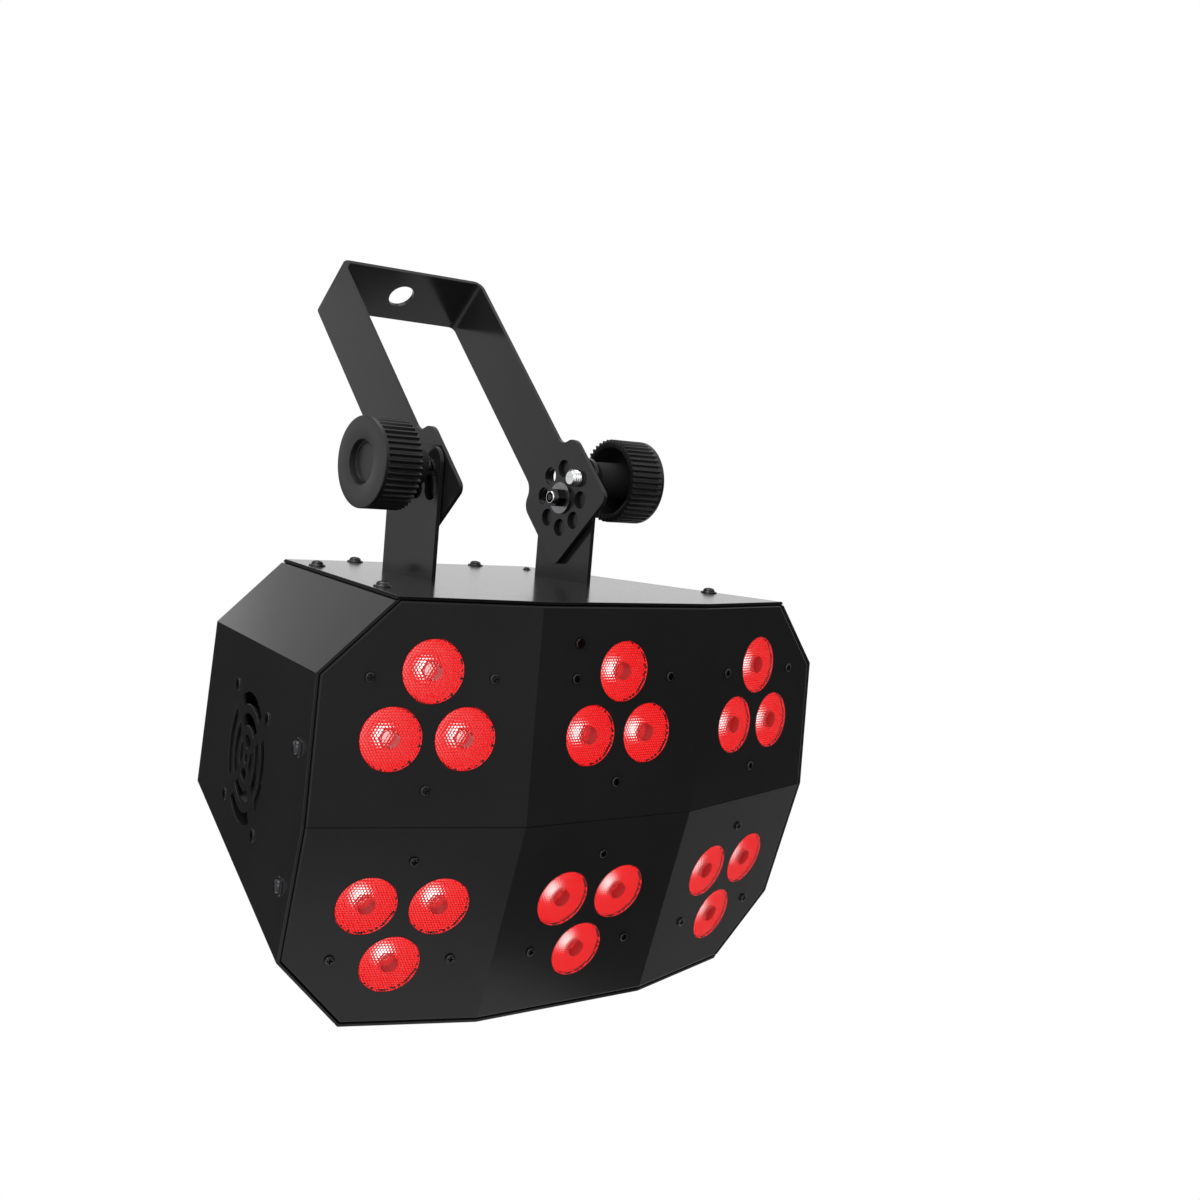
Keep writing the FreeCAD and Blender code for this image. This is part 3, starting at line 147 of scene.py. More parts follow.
def powder_coat(name="black_powder_coat", painted_shade_below=None):
    """Black polyester powder coat on sheet steel: satin, with orange peel that breaks the gloss.

    Below a given height lies the cut edge of the sheet, which is made matt and painted near black
    as shade.
    """
    material, tree, shader = new_material(name, {"IOR": 1.31})
    place = add(tree, "ShaderNodeTexCoord").outputs["Object"]
    peel = add(tree, "ShaderNodeTexNoise",
               inputs={"Scale": 1 / PEEL_SIZE, "Detail": 3.0, "Roughness": 0.6},
               links={"Vector": place}).outputs["Fac"]
    drift = add(tree, "ShaderNodeTexNoise", inputs={"Scale": 1 / DRIFT_SIZE, "Detail": 2.0},
                links={"Vector": place}).outputs["Fac"]
    tone = add(tree, "ShaderNodeMapRange",
               inputs={"From Min": 0.3, "From Max": 0.7, "To Min": 0.0, "To Max": 1.0},
               links={"Value": drift}).outputs["Result"]
    colour = add(tree, "ShaderNodeMix", {"data_type": "RGBA"},
                 {MIX_A: linear("#252526"), MIX_B: linear("#2A2A2B")},
                 {0: tone}).outputs[MIX_RESULT]
    gloss = add(tree, "ShaderNodeMapRange",
                inputs={"From Min": 0.25, "From Max": 0.75, "To Min": 0.14, "To Max": 0.2},
                links={"Value": peel}).outputs["Result"]
    if painted_shade_below is not None:
        # Painted shade: below that height the cut edge is painted near black, and made matt.
        height = add(tree, "ShaderNodeSeparateXYZ", links={0: place}).outputs["Z"]
        cut = add(tree, "ShaderNodeMath", {"operation": "LESS_THAN"}, {1: painted_shade_below},
                  {0: height}).outputs[0]
        colour = add(tree, "ShaderNodeMix", {"data_type": "RGBA"}, {MIX_B: linear("#020202")},
                     {0: cut, MIX_A: colour}).outputs[MIX_RESULT]
        gloss = add(tree, "ShaderNodeMath", {"operation": "MAXIMUM"},
                    links={0: cut, 1: gloss}).outputs[0]
    bump = add(tree, "ShaderNodeBump", inputs={"Strength": 0.06, "Distance": PEEL_HEIGHT},
               links={"Height": peel}).outputs["Normal"]
    feed(tree, shader, {"Base Color": colour, "Roughness": gloss, "Normal": bump})
    return material


# The grain of a spark-eroded mould is near 0.1 mm, and shows only when drawn 0.5 mm wide.
MOULD_GRAIN = 0.5 * MM
MOULD_GRAIN_HEIGHT = 0.04 * MM


def moulded_nylon(name, light, dark, low, high):
    """Black moulded nylon: satin, with the fine spark-eroded grain of the mould."""
    material, tree, shader = new_material(name, {"IOR": 1.45})
    place = add(tree, "ShaderNodeTexCoord").outputs["Object"]
    grain = add(tree, "ShaderNodeTexNoise",
                inputs={"Scale": 1 / MOULD_GRAIN, "Detail": 4.0, "Roughness": 0.7},
                links={"Vector": place}).outputs["Fac"]
    tone = add(tree, "ShaderNodeMix", {"data_type": "RGBA"},
               {MIX_A: linear(dark), MIX_B: linear(light)}, {0: grain}).outputs[MIX_RESULT]
    gloss = add(tree, "ShaderNodeMapRange", inputs={"To Min": low, "To Max": high},
                links={"Value": grain}).outputs["Result"]
    bump = add(tree, "ShaderNodeBump", inputs={"Strength": 0.25, "Distance": MOULD_GRAIN_HEIGHT},
               links={"Height": grain}).outputs["Normal"]
    feed(tree, shader, {"Base Color": tone, "Roughness": gloss, "Normal": bump})
    return material


# Turning marks are near 0.1 mm, and show only when drawn 0.35 mm wide; plating clouds over 4 mm.
TURNING_MARK = 0.35 * MM
PLATING_CLOUD = 4 * MM
MARK_HEIGHT = 0.02 * MM


def plated_steel(name, light, dark, roughness):
    """Zinc-plated turned steel: bright metal with fine turning marks and small cloudy patches."""
    material, tree, shader = new_material(name, {"Metallic": 1.0})
    place = add(tree, "ShaderNodeTexCoord").outputs["Object"]
    marks = add(tree, "ShaderNodeTexNoise", inputs={"Scale": 1 / TURNING_MARK, "Detail": 3.0},
                links={"Vector": place}).outputs["Fac"]
    cloud = add(tree, "ShaderNodeTexNoise", inputs={"Scale": 1 / PLATING_CLOUD, "Detail": 2.0},
                links={"Vector": place}).outputs["Fac"]
    tone = add(tree, "ShaderNodeMix", {"data_type": "RGBA"},
               {MIX_A: linear(dark), MIX_B: linear(light)}, {0: cloud}).outputs[MIX_RESULT]
    gloss = add(tree, "ShaderNodeMapRange",
                inputs={"To Min": roughness - 0.06, "To Max": roughness + 0.08},
                links={"Value": marks}).outputs["Result"]
    bump = add(tree, "ShaderNodeBump", inputs={"Strength": 0.12, "Distance": MARK_HEIGHT},
               links={"Height": marks}).outputs["Normal"]
    feed(tree, shader, {"Base Color": tone, "Roughness": gloss, "Normal": bump})
    return material


# The grain of the plain finishes is drawn coarser than the real one, so that it shows.
SPECKLE_HEIGHT = 0.03 * MM


def speckled(name, light, dark, grain_mm, low, high, bump_strength=0.1, metallic=0.0):
    """Plain hard finish with a fine grain: boards, extruded aluminium and small mouldings."""
    material, tree, shader = new_material(name, {"Metallic": metallic})
    place = add(tree, "ShaderNodeTexCoord").outputs["Object"]
    grain = add(tree, "ShaderNodeTexNoise", inputs={"Scale": 1 / (grain_mm * MM), "Detail": 3.0},
                links={"Vector": place}).outputs["Fac"]
    tone = add(tree, "ShaderNodeMix", {"data_type": "RGBA"},
               {MIX_A: linear(dark), MIX_B: linear(light)}, {0: grain}).outputs[MIX_RESULT]
    gloss = add(tree, "ShaderNodeMapRange", inputs={"To Min": low, "To Max": high},
                links={"Value": grain}).outputs["Result"]
    bump = add(tree, "ShaderNodeBump",
               inputs={"Strength": bump_strength, "Distance": SPECKLE_HEIGHT},
               links={"Height": grain}).outputs["Normal"]
    feed(tree, shader, {"Base Color": tone, "Roughness": gloss, "Normal": bump})
    return material


def moulded_acrylic(name, tint, clearness, flow_mm, low, high):
    """Moulded acrylic: glassy, with a trace of the mould's flow marks in its gloss."""
    constants = {"Base Color": linear(tint), "IOR": 1.49, "Transmission Weight": clearness}
    material, tree, shader = new_material(name, constants)
    place = add(tree, "ShaderNodeTexCoord").outputs["Object"]
    flow = add(tree, "ShaderNodeTexNoise", inputs={"Scale": 1 / (flow_mm * MM), "Detail": 2.0},
               links={"Vector": place}).outputs["Fac"]
    gloss = add(tree, "ShaderNodeMapRange", inputs={"To Min": low, "To Max": high},
                links={"Value": flow}).outputs["Result"]
    feed(tree, shader, {"Roughness": gloss})
    return material


def glowing(name, colour, deep_colour, strength, cloud_mm):
    """Acrylic filled with LED light: an even glow with a slightly deeper cloud in it."""
    constants = {"Base Color": linear("#100202"), "Roughness": 0.4, "Emission Strength": strength}
    material, tree, shader = new_material(name, constants)
    place = add(tree, "ShaderNodeTexCoord").outputs["Object"]
    cloud = add(tree, "ShaderNodeTexNoise", inputs={"Scale": 1 / (cloud_mm * MM), "Detail": 2.0},
                links={"Vector": place}).outputs["Fac"]
    tone = add(tree, "ShaderNodeMix", {"data_type": "RGBA"},
               {MIX_A: linear(deep_colour), MIX_B: linear(colour)},
               {0: cloud}).outputs[MIX_RESULT]
    feed(tree, shader, {"Emission Color": tone})
    return material


coat = powder_coat()
nylon = moulded_nylon("black_moulded_nylon", "#171717", "#0F0F0F", 0.3, 0.5)
# The hollow of a knob is left rough by the core of its mould, and is painted darker as the shade
# that falls in it.
nylon_painted_shade_hollow = moulded_nylon("moulded_nylon_painted_shade_hollow", "#0A0A0A", "#060606", 0.75, 0.9)
bright_zinc = plated_steel("bright_zinc_steel", "#E8E8E8", "#B8BABC", 0.22)
# Black passivated zinc keeps the metal's glints on a near-black ground.
black_zinc = plated_steel("black_zinc_steel", "#4A4A4C", "#2A2A2C", 0.22)
# Dulled zinc makes the washers at the pivots a plain mid grey.
grey_zinc = plated_steel("grey_zinc_steel", "#8C8C8E", "#6A6A6C", 0.3)
acrylic = moulded_acrylic("clear_moulded_acrylic", "#FFF6F6", 1.0, 6, 0.015, 0.05)
# Behind the clear face the lit cone is an even red, and the LED at its small end near white.
red_glow = glowing("red_lit_acrylic", "#FF0610", "#FA0008", 0.95, 5.0)
led_glow = glowing("lit_led_die", "#FFFFFF", "#FFE6E4", 1.9, 0.6)
# The valleys between the domes are painted deeper red as shade; the pocket is matt from its mould
# and milky, its wall painted darker as shade.
valley_painted_shade = moulded_acrylic("acrylic_painted_shade_between_domes", "#B83A3C", 1.0, 2, 0.05, 0.16)
frosted = moulded_acrylic("frosted_pocket_floor", "#F08C8C", 0.6, 2, 0.05, 0.16)
pocket_wall_painted_shade = moulded_acrylic("frosted_pocket_wall_painted_shade", "#B45A5A", 0.35, 2, 0.05, 0.16)
# The rim is painted dark red, a line of painted shade round each lens where the real rim sends the
# light aside.
rim_painted_shade = speckled("lens_rim_painted_shade", "#5A0E10", "#3A080A", 0.6, 0.25, 0.4)
finishes = {
    "black_paint": coat,
    "black_plastic": nylon,
    "red_lens": red_glow,
    "steel": bright_zinc,
    "black_screw": black_zinc,
    # Silicone over the phosphor of an LED: smooth and pale yellow.
    "emitter": speckled("led_silicone", "#F4F0DC", "#E6D9A8", 1.0, 0.2, 0.3),
    # Screen-printed solder mask: flat white or green with an eggshell gloss.
    "white_board": speckled("white_solder_mask", "#E9E9E4", "#D8D8D2", 1.5, 0.3, 0.45),
    "green_board": speckled("green_circuit_board", "#1E6A38", "#14502A", 1.2, 0.35, 0.5),
    # Extruded aluminium: grey metal with a dull drawn skin.
    "bare_aluminium": speckled("extruded_aluminium", "#D2D4D6", "#B9BBBD", 0.6, 0.3, 0.45,
                               bump_strength=0.15, metallic=1.0),
    # Zinc die casting under black paint: dark, with an uneven satin gloss.
    "black_metal_shell": speckled("black_zinc_die_casting", "#1C1C1D", "#141415", 0.7, 0.35, 0.5),
    # Moulded ABS: grey, with an even satin.
    "button_plastic": speckled("grey_button_plastic", "#3A3B3D", "#303133", 0.5, 0.45, 0.6),
    # Tinted cast acrylic: nearly black, with a sharp gloss.
    "display_glass": speckled("tinted_display_window", "#0C1113", "#090D0F", 3.0, 0.05, 0.09,
                              bump_strength=0.02),
    # Dyed polycarbonate that lets only infrared through: red-black and glossy.
    "dark_lens": speckled("infrared_filter", "#1A0507", "#100304", 0.8, 0.08, 0.14,
                          bump_strength=0.02)}

# Upper face of the top plate; the sheet's cut edge starts a little below it.
TOP_FACE = -131.938 * MM
EDGE_START = 0.1 * MM

for part in record["subparts"]:
    node = nodes[part["node"]]
    node.data.materials.clear()
    node.data.materials.append(finishes[part["material_slot"]])
# The top plate's cut edge is painted near black as shade.
nodes["top_plate"].data.materials[0] = powder_coat("black_powder_coat_painted_shade_edge",
                                                   TOP_FACE - EDGE_START)
nodes["pivot_washers"].data.materials[0] = grey_zinc


# Modelling

def make_active(piece):
    bpy.ops.object.select_all(action="DESELECT")
    piece.select_set(True)
    bpy.context.view_layer.objects.active = piece


def join(pieces):
    """Joins the pieces into the first one."""
    make_active(pieces[0])
    for piece in pieces[1:]:
        piece.select_set(True)
    bpy.ops.object.join()
    return pieces[0]


def new_piece(name):
    """Names the primitive that was just added and opens it for shaping."""
    piece = bpy.context.object
    piece.name = name
    make_active(piece)
    bpy.ops.object.mode_set(mode="EDIT")
    return piece


def close_shaping():
    """Turns all faces outwards and ends the shaping of the open piece."""
    bpy.ops.mesh.select_all(action="SELECT")
    bpy.ops.mesh.normals_make_consistent(inside=False)
    bpy.ops.object.mode_set(mode="OBJECT")


def choose(kind, test):
    """Selects the vertices, edges or faces for which test(place, item) holds."""
    bpy.ops.mesh.select_mode(type=kind)
    bpy.ops.mesh.select_all(action="DESELECT")
    mesh = bmesh.from_edit_mesh(bpy.context.edit_object.data)
    items = {"VERT": mesh.verts, "EDGE": mesh.edges, "FACE": mesh.faces}[kind]
    for item in items:
        if kind == "VERT":
            place = item.co
        elif kind == "EDGE":
            place = (item.verts[0].co + item.verts[1].co) / 2
        else:
            place = item.calc_center_median()
        if test(place, item):
            item.select_set(True)
    mesh.select_flush_mode()
    bmesh.update_edit_mesh(bpy.context.edit_object.data)


def draw_along(profile, extrude=bpy.ops.mesh.extrude_region_move):
    """Draws the selected end out from the first point of a profile to each of the others."""
    radius, height = profile[0]
    for next_radius, next_height in profile[1:]:
        extrude(TRANSFORM_OT_translate={"value": (0, 0, (next_height - height) * MM)})
        growth = next_radius / radius
        bpy.ops.transform.resize(value=(growth, growth, 1))
        radius, height = next_radius, next_height


def apply_all(piece):
    make_active(piece)
    for modifier in list(piece.modifiers):
        bpy.ops.object.modifier_apply(modifier=modifier.name)


def round_edges(piece, width, degrees):
    """Puts a narrow rounding on the edges that turn by more than an angle."""
    rounding = piece.modifiers.new("rounded_edges", "BEVEL")
    rounding.limit_method = "ANGLE"
    rounding.angle_limit = math.radians(degrees)
    rounding.width = width
    rounding.segments = 2


def smooth(piece, degrees):
    """Shades the faces smooth, and keeps the edges that turn by more than an angle crisp."""
    make_active(piece)
    bpy.ops.object.shade_smooth_by_angle(angle=math.radians(degrees))


def add_circle(radius, height, corners, fill="NGON"):
    bpy.ops.object.select_all(action="DESELECT")
    bpy.ops.mesh.primitive_circle_add(vertices=corners, radius=radius, fill_type=fill,
                                      location=(0, 0, height))
    bpy.ops.object.transform_apply(location=True, rotation=True, scale=True)


def turned(name, profile, corners):
    """A round solid drawn out along a profile from its first end."""
    radius, height = profile[0]
    add_circle(radius * MM, height * MM, corners)
    piece = new_piece(name)
    bpy.ops.mesh.select_all(action="SELECT")
    draw_along(profile)
    close_shaping()
    return piece


def turned_ring(name, profile, corners):
    """A ring drawn out along a profile that ends where it starts."""
    radius, height = profile[0]
    add_circle(radius * MM, height * MM, corners, "NOTHING")
    ring = new_piece(name)
    bpy.ops.mesh.select_all(action="SELECT")
    draw_along(profile, bpy.ops.mesh.extrude_edges_move)
    bpy.ops.mesh.select_all(action="SELECT")
    bpy.ops.mesh.remove_doubles(threshold=HAIR / 10)
    close_shaping()
    return ring


def cut_with(piece, tool, operation):
    cut = piece.modifiers.new("cut", "BOOLEAN")
    cut.operation = operation
    cut.solver = "EXACT"
    cut.object = tool
    apply_all(piece)
    bpy.data.objects.remove(tool)


def facing(across, out):
    """The turn that takes X to across and Z to out."""
    return Matrix((across, out.cross(across), out)).transposed().to_4x4()


def copy_to(piece, name, matrix):
    copy = piece.copy()
    copy.data = piece.data.copy()
    copy.name = name
    copy.data.transform(matrix)
    bpy.context.scene.collection.objects.link(copy)
    return copy


def finish_piece(piece, body, replaced):
    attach(piece, body)
    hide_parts(replaced)


# Collimator lens: a honeycomb of small domes on its face and on the floor of its pocket, and the
# lit cone behind, whose small end is the LED's die.
LENS_PROFILE = [(3.4, -13.7), (5.5, -13.7), (11.9, -2.6), (13.85, -2.6), (13.85, -1.25),
                (12.6, -1.25), (12.6, 0.6)]
LENS_CORNERS = 72
DIE_RADIUS, LENS_FOOT = (length * MM for length in LENS_PROFILE[0])
SIDE_WALL = 12.4 * MM
BEHIND_FACE = -0.5 * MM
RIM_PROFILE = [(12.61, -1.2), (12.85, -1.2), (12.85, 0.05), (12.78, 0.14), (12.66, 0.14),
               (12.61, 0.08), (12.61, -1.2)]
POCKET_PROFILE = [(3.6, -6.0), (3.7, 1.0)]
POCKET_CORNERS = 48
POCKET_RADIUS = POCKET_PROFILE[0][0] * MM
POCKET_DEPTH = 5.0 * MM
# About 22 domes stand side by side across a lens. Each is a hexagon that is drawn in and up
# twice, as (inset, rise), under a low crown.
DOME_PITCH = 1.2 * MM
DOME_BASE = -0.1 * MM
DOME_STEPS = [(0.16 * MM, 0.125 * MM), (0.2 * MM, 0.073 * MM)]
DOME_CROWN = 0.034 * MM
FACE_DOMES = (23, 13)
POCKET_DOMES = (8, 5)
# How far a face's normal points up Z: less than the first on a wall, more than the second where
# the face is nearly level.
WALL_SLOPE = 0.1
LEVEL_SLOPE = 0.9


def honeycomb_block(columns_and_rows, base, thickness):
    """A block with a honeycomb of domes at the base height, filled down or up from there."""
    columns, rows = columns_and_rows
    add_circle(DOME_PITCH / 3 ** 0.5, base, 6)
    block = new_piece("honeycomb")
    bpy.ops.mesh.select_all(action="SELECT")
    for width, rise in DOME_STEPS:
        bpy.ops.mesh.inset(thickness=width)
        bpy.ops.transform.translate(value=(0, 0, rise))
    bpy.ops.mesh.poke(offset=DOME_CROWN)
    bpy.ops.object.mode_set(mode="OBJECT")
    row_step = DOME_PITCH * 3 ** 0.5
    steps = ((2, (DOME_PITCH / 2, row_step / 2, 0)), (columns, (DOME_PITCH, 0, 0)),
             (rows, (0, row_step, 0)))
    for count, offset in steps:
        array = block.modifiers.new("rows_of_domes", "ARRAY")
        array.count = count
        array.use_relative_offset = False
        array.use_constant_offset = True
        array.constant_offset_displace = offset
    apply_all(block)
    bpy.ops.object.mode_set(mode="EDIT")
    bpy.ops.mesh.select_all(action="SELECT")
    bpy.ops.mesh.remove_doubles(threshold=HAIR)
    middle = (-(columns - 0.5) / 2 * DOME_PITCH, -(rows - 0.5) / 2 * row_step, 0)
    bpy.ops.transform.translate(value=middle)
    choose("EDGE", lambda place, edge: edge.is_boundary)
    bpy.ops.mesh.extrude_region_move(TRANSFORM_OT_translate={"value": (0, 0, thickness)})
    bpy.ops.mesh.edge_face_add()
    close_shaping()
    return block


def lens_finish(face):
    """The finish of one face of the lens, by its place and slope."""
    place, slope = face.center, face.normal.z
    radius = math.hypot(place.x, place.y)
    wall = abs(slope) < WALL_SLOPE
    if place.z < LENS_FOOT + HAIR and radius < DIE_RADIUS:
        return led_glow
    below_pocket = place.z < -POCKET_DEPTH - 1 * MM
    behind_face = place.z < BEHIND_FACE and radius > POCKET_RADIUS + 1 * MM
    if below_pocket or behind_face or wall and radius > SIDE_WALL:
        return red_glow
    if place.z < -POCKET_DEPTH + 1 * MM and radius < POCKET_RADIUS:
        return frosted
    # The pocket's wall and the valleys between the domes are painted darker red as shade.
    if wall and radius < POCKET_RADIUS + 0.2 * MM:
        return pocket_wall_painted_shade
    if abs(place.z - DOME_BASE) < DOME_STEPS[0][1] and WALL_SLOPE < slope < LEVEL_SLOPE:
        return valley_painted_shade
    return acrylic


def lens_model():
    lens = turned("lens", LENS_PROFILE, LENS_CORNERS)
    # Each block of domes reaches past the piece that it shapes.
    face_domes = honeycomb_block(FACE_DOMES, DOME_BASE, LENS_FOOT * 1.2)
    cut_with(lens, face_domes, "INTERSECT")
    pocket = turned("pocket", POCKET_PROFILE, POCKET_CORNERS)
    floor_domes = honeycomb_block(POCKET_DOMES, DOME_BASE - POCKET_DEPTH, POCKET_DEPTH * 2)
    cut_with(pocket, floor_domes, "INTERSECT")
    cut_with(lens, pocket, "DIFFERENCE")
    lens_finishes = [acrylic, red_glow, led_glow, rim_painted_shade, valley_painted_shade, frosted, pocket_wall_painted_shade]
    lens.data.materials.clear()
    for finish in lens_finishes:
        lens.data.materials.append(finish)
    for face in lens.data.polygons:
        face.material_index = lens_finishes.index(lens_finish(face))
    # The rim ring is painted dark red as shade.
    rim = turned_ring("rim", RIM_PROFILE, LENS_CORNERS)
    rim.data.materials.append(rim_painted_shade)
    smooth(join([lens, rim]), degrees=40)
    return lens


# Facets: each frame's origin lies on the kink line between the two rows, at its trio's
# centreline. The lower row mirrors the upper one in a plane through the kink line.
# HOOK is the hanging hole, as seen from the middle of the kink line.
HOOK = Vector((0, 195.238, 223.038)) * MM
TURN = math.radians(12.5)
TILT = math.radians(7.5)
FACET_CORNER = 44.6 * MM
TRIO_PLACE = 44.5 * MM
LENS_PLACES = [(0.0, 62.49), (-15.25, 36.08), (15.25, 36.08)]
UP = Vector((0, 0, 1))
SIDE_OUT = Vector((math.cos(TURN), math.sin(TURN) * math.cos(TILT),
                   math.sin(TURN) * math.sin(TILT)))
MIRROR_NORMAL = Vector((0, -math.sin(TILT), math.cos(TILT)))


def in_lower_row(vector):
    return vector - 2 * vector.dot(MIRROR_NORMAL) * MIRROR_NORMAL


def facet_frames():
    """Each facet's name with its origin and its directions along, up and out."""
    uppers = {"centre": (Vector((0, 0, 0)), Vector((1, 0, 0)))}
    for side, sign in (("right", 1), ("left", -1)):
        run = Vector((sign * math.cos(TURN), math.sin(TURN), 0))
        uppers[side] = (Vector((sign * FACET_CORNER, 0, 0)) + run * TRIO_PLACE, run * sign)
    facets = {}
    for side, (origin, along) in uppers.items():
        upper = (origin, along, UP, along.cross(UP))
        facets["upper_" + side] = upper
        facets["lower_" + side] = tuple(in_lower_row(vector) for vector in upper)
    return facets


def lens_trios():
    model = lens_model()
    for name, (origin, along, up, out) in facet_frames().items():
        copies = []
        for u, v in LENS_PLACES:
            place = origin + along * u * MM + up * v * MM - HOOK
            matrix = Matrix.Translation(place) @ facing(along, out)
            copies.append(copy_to(model, "lens_trio_" + name, matrix))
        finish_piece(join(copies), "housing", "lens_" + name)
    bpy.data.objects.remove(model)


# Knob: a grip whose grooves run out before a plain collar, a stepped recess, and a hollow back
# with a hub. Of the columns of corners that make a rib, three are pressed in as its groove.
KNOB_SIDE = [(19.8, 59.0), (19.8, 74.5), (19.8, 75.9), (19.8, 77.25), (19.45, 77.6), (9.75, 77.6),
             (9.5, 75.0), (8.6, 75.0), (8.45, 75.5), (8.1, 75.5), (7.9, 74.6), (7.0, 74.6)]
KNOB_BACK_SIDE = [(19.8, 59.0), (16.0, 59.0), (15.5, 72.4), (8.9, 72.4), (8.6, 59.0), (8.4, 48.6),
                  (4.2, 48.6)]
KNOB_RADIUS, KNOB_BACK = (length * MM for length in KNOB_SIDE[0])
KNOB_RIBS = 44
COLUMNS_PER_RIB = 5
GROOVE_COLUMNS = 3
GROOVE_RADIUS = 18.55 * MM
GROOVE_END = KNOB_SIDE[1][1] * MM
HOLLOW_RADIUS = 15.9 * MM
HOLLOW_END = 72.6 * MM
MOULD_ROUNDING = 0.12 * MM


def knob_model():
    corners = COLUMNS_PER_RIB * KNOB_RIBS
    knob = turned("knob", KNOB_SIDE, corners)
    bpy.ops.object.mode_set(mode="EDIT")
    choose("FACE", lambda place, face: place.z < KNOB_BACK + HAIR)
    draw_along(KNOB_BACK_SIDE)
    step = 2 * math.pi / corners

    def in_groove(place, vertex):
        column = round(math.atan2(place.y, place.x) / step) % COLUMNS_PER_RIB
        outside = math.hypot(place.x, place.y) > KNOB_RADIUS - HAIR
        return outside and place.z < GROOVE_END + HAIR and column < GROOVE_COLUMNS

    choose("VERT", in_groove)
    press = GROOVE_RADIUS / KNOB_RADIUS
    bpy.ops.transform.resize(value=(press, press, 1))
    close_shaping()
    round_edges(knob, MOULD_ROUNDING, degrees=30)
    apply_all(knob)
    smooth(knob, degrees=35)
    knob.data.materials.append(nylon)
    knob.data.materials.append(nylon_painted_shade_hollow)
    # The faces in the hollow take the darker nylon: painted shade.
    for face in knob.data.polygons:
        place = face.center
        if math.hypot(place.x, place.y) < HOLLOW_RADIUS and place.z < HOLLOW_END:
            face.material_index = 1
    return knob


# Stud: M8, with its thread where it stands out of the lug. Each turn of the thread is a ring,
# which rises over the first part of the pitch.
STUD_TIP = [(3.0, 35.4), (3.3, 35.7)]
STUD_RADIUS = 4.04
STUD_SEAT = 69.6
THREAD_ROOT = 3.5
THREAD_PITCH = 1.25
THREAD_TURNS = 5
THREAD_RISE = 0.5
THREAD_RING = [(STUD_RADIUS, THREAD_RISE), (STUD_RADIUS, 0.65), (THREAD_ROOT, 1.15),
               (THREAD_ROOT, THREAD_PITCH)]


def stud_model():
    profile = list(STUD_TIP)
    height = STUD_TIP[-1][1]
    for turn in range(THREAD_TURNS):
        profile += [(radius, height + rise) for radius, rise in THREAD_RING]
        height += THREAD_PITCH
    profile += [(STUD_RADIUS, height + THREAD_RISE), (STUD_RADIUS, STUD_SEAT)]
    stud = turned("stud", profile, corners=40)
    stud.data.materials.append(bright_zinc)
    smooth(stud, degrees=25)
    return stud


# Pivot nut: a black hexagon against the washer, then the pivot's bright end with a dark socket.
NUT_FLATS = 8.0
NUT_CORNER = NUT_FLATS / 3 ** 0.5
NUT_FACE = 38.0
NUT_END = 34.0
NUT_PROFILE = [(2.6, NUT_END), (NUT_CORNER * 0.93, NUT_END), (NUT_CORNER, NUT_END + 0.35),
               (NUT_CORNER, NUT_FACE - 0.2), (NUT_CORNER * 0.96, NUT_FACE), (2.6, NUT_FACE)]
PIVOT_PROFILE = [(1.5, NUT_END - 1.0), (1.4, NUT_END - 1.8), (2.7, NUT_END - 1.8),
                 (3.0, NUT_END - 1.5), (3.0, NUT_END + 0.1)]
SOCKET_RADIUS, SOCKET_FLOOR = (length * MM for length in PIVOT_PROFILE[0])


def nut_model():
    nut = turned("nut", NUT_PROFILE, corners=6)
    nut.data.materials.append(black_zinc)
    pivot = turned("pivot_end", PIVOT_PROFILE, corners=40)
    pivot.data.materials.append(black_zinc)
    pivot.data.materials.append(bright_zinc)
    for face in pivot.data.polygons:
        radius = math.hypot(face.center.x, face.center.y)
        in_socket = radius < SOCKET_RADIUS and face.center.z < SOCKET_FLOOR + HAIR
        face.material_index = 0 if in_socket else 1
    smooth(join([nut, pivot]), degrees=30)
    return nut


# Cover screw: a rounded head on its own flange, with a cross recess that narrows downwards. The
# small screws are the same model, scaled down, and their heads stand half as high.
SCREW_PROFILE = [(1.5, -2.7), (1.5, 0.0), (3.8, 0.0), (3.8, 0.45), (3.55, 0.7), (2.8, 0.75),
                 (2.75, 1.2), (2.45, 1.75), (1.85, 2.15), (1.0, 2.36), (0.5, 2.4)]
SCREW_HEIGHT = SCREW_PROFILE[-1][1] * MM
SCREW_REACH = 6.0 * MM
SMALL_SCREW = 0.55
SMALL_STAND = 0.5
RECESS_LENGTH = 3.0 * MM
RECESS_WIDTH = 0.75 * MM
RECESS_HEIGHT = 2.6 * MM
RECESS_TAPER = 0.55


def screw_model():
    screw = turned("screw", SCREW_PROFILE, corners=32)
    for length, width in ((RECESS_LENGTH, RECESS_WIDTH), (RECESS_WIDTH, RECESS_LENGTH)):
        bpy.ops.object.select_all(action="DESELECT")
        bpy.ops.mesh.primitive_cube_add(size=1, location=(0, 0, 0))
        recess = new_piece("recess")
        bpy.ops.mesh.select_all(action="SELECT")
        bpy.ops.transform.resize(value=(length, width, RECESS_HEIGHT))
        bpy.ops.transform.translate(value=(0, 0, RECESS_HEIGHT))
        choose("VERT", lambda place, vertex: place.z < RECESS_HEIGHT)
        bpy.ops.transform.resize(value=(RECESS_TAPER, RECESS_TAPER, 1))
        bpy.ops.object.mode_set(mode="OBJECT")
        cut_with(screw, recess, "DIFFERENCE")
    screw.data.materials.append(black_zinc)
    smooth(screw, degrees=35)
    return screw


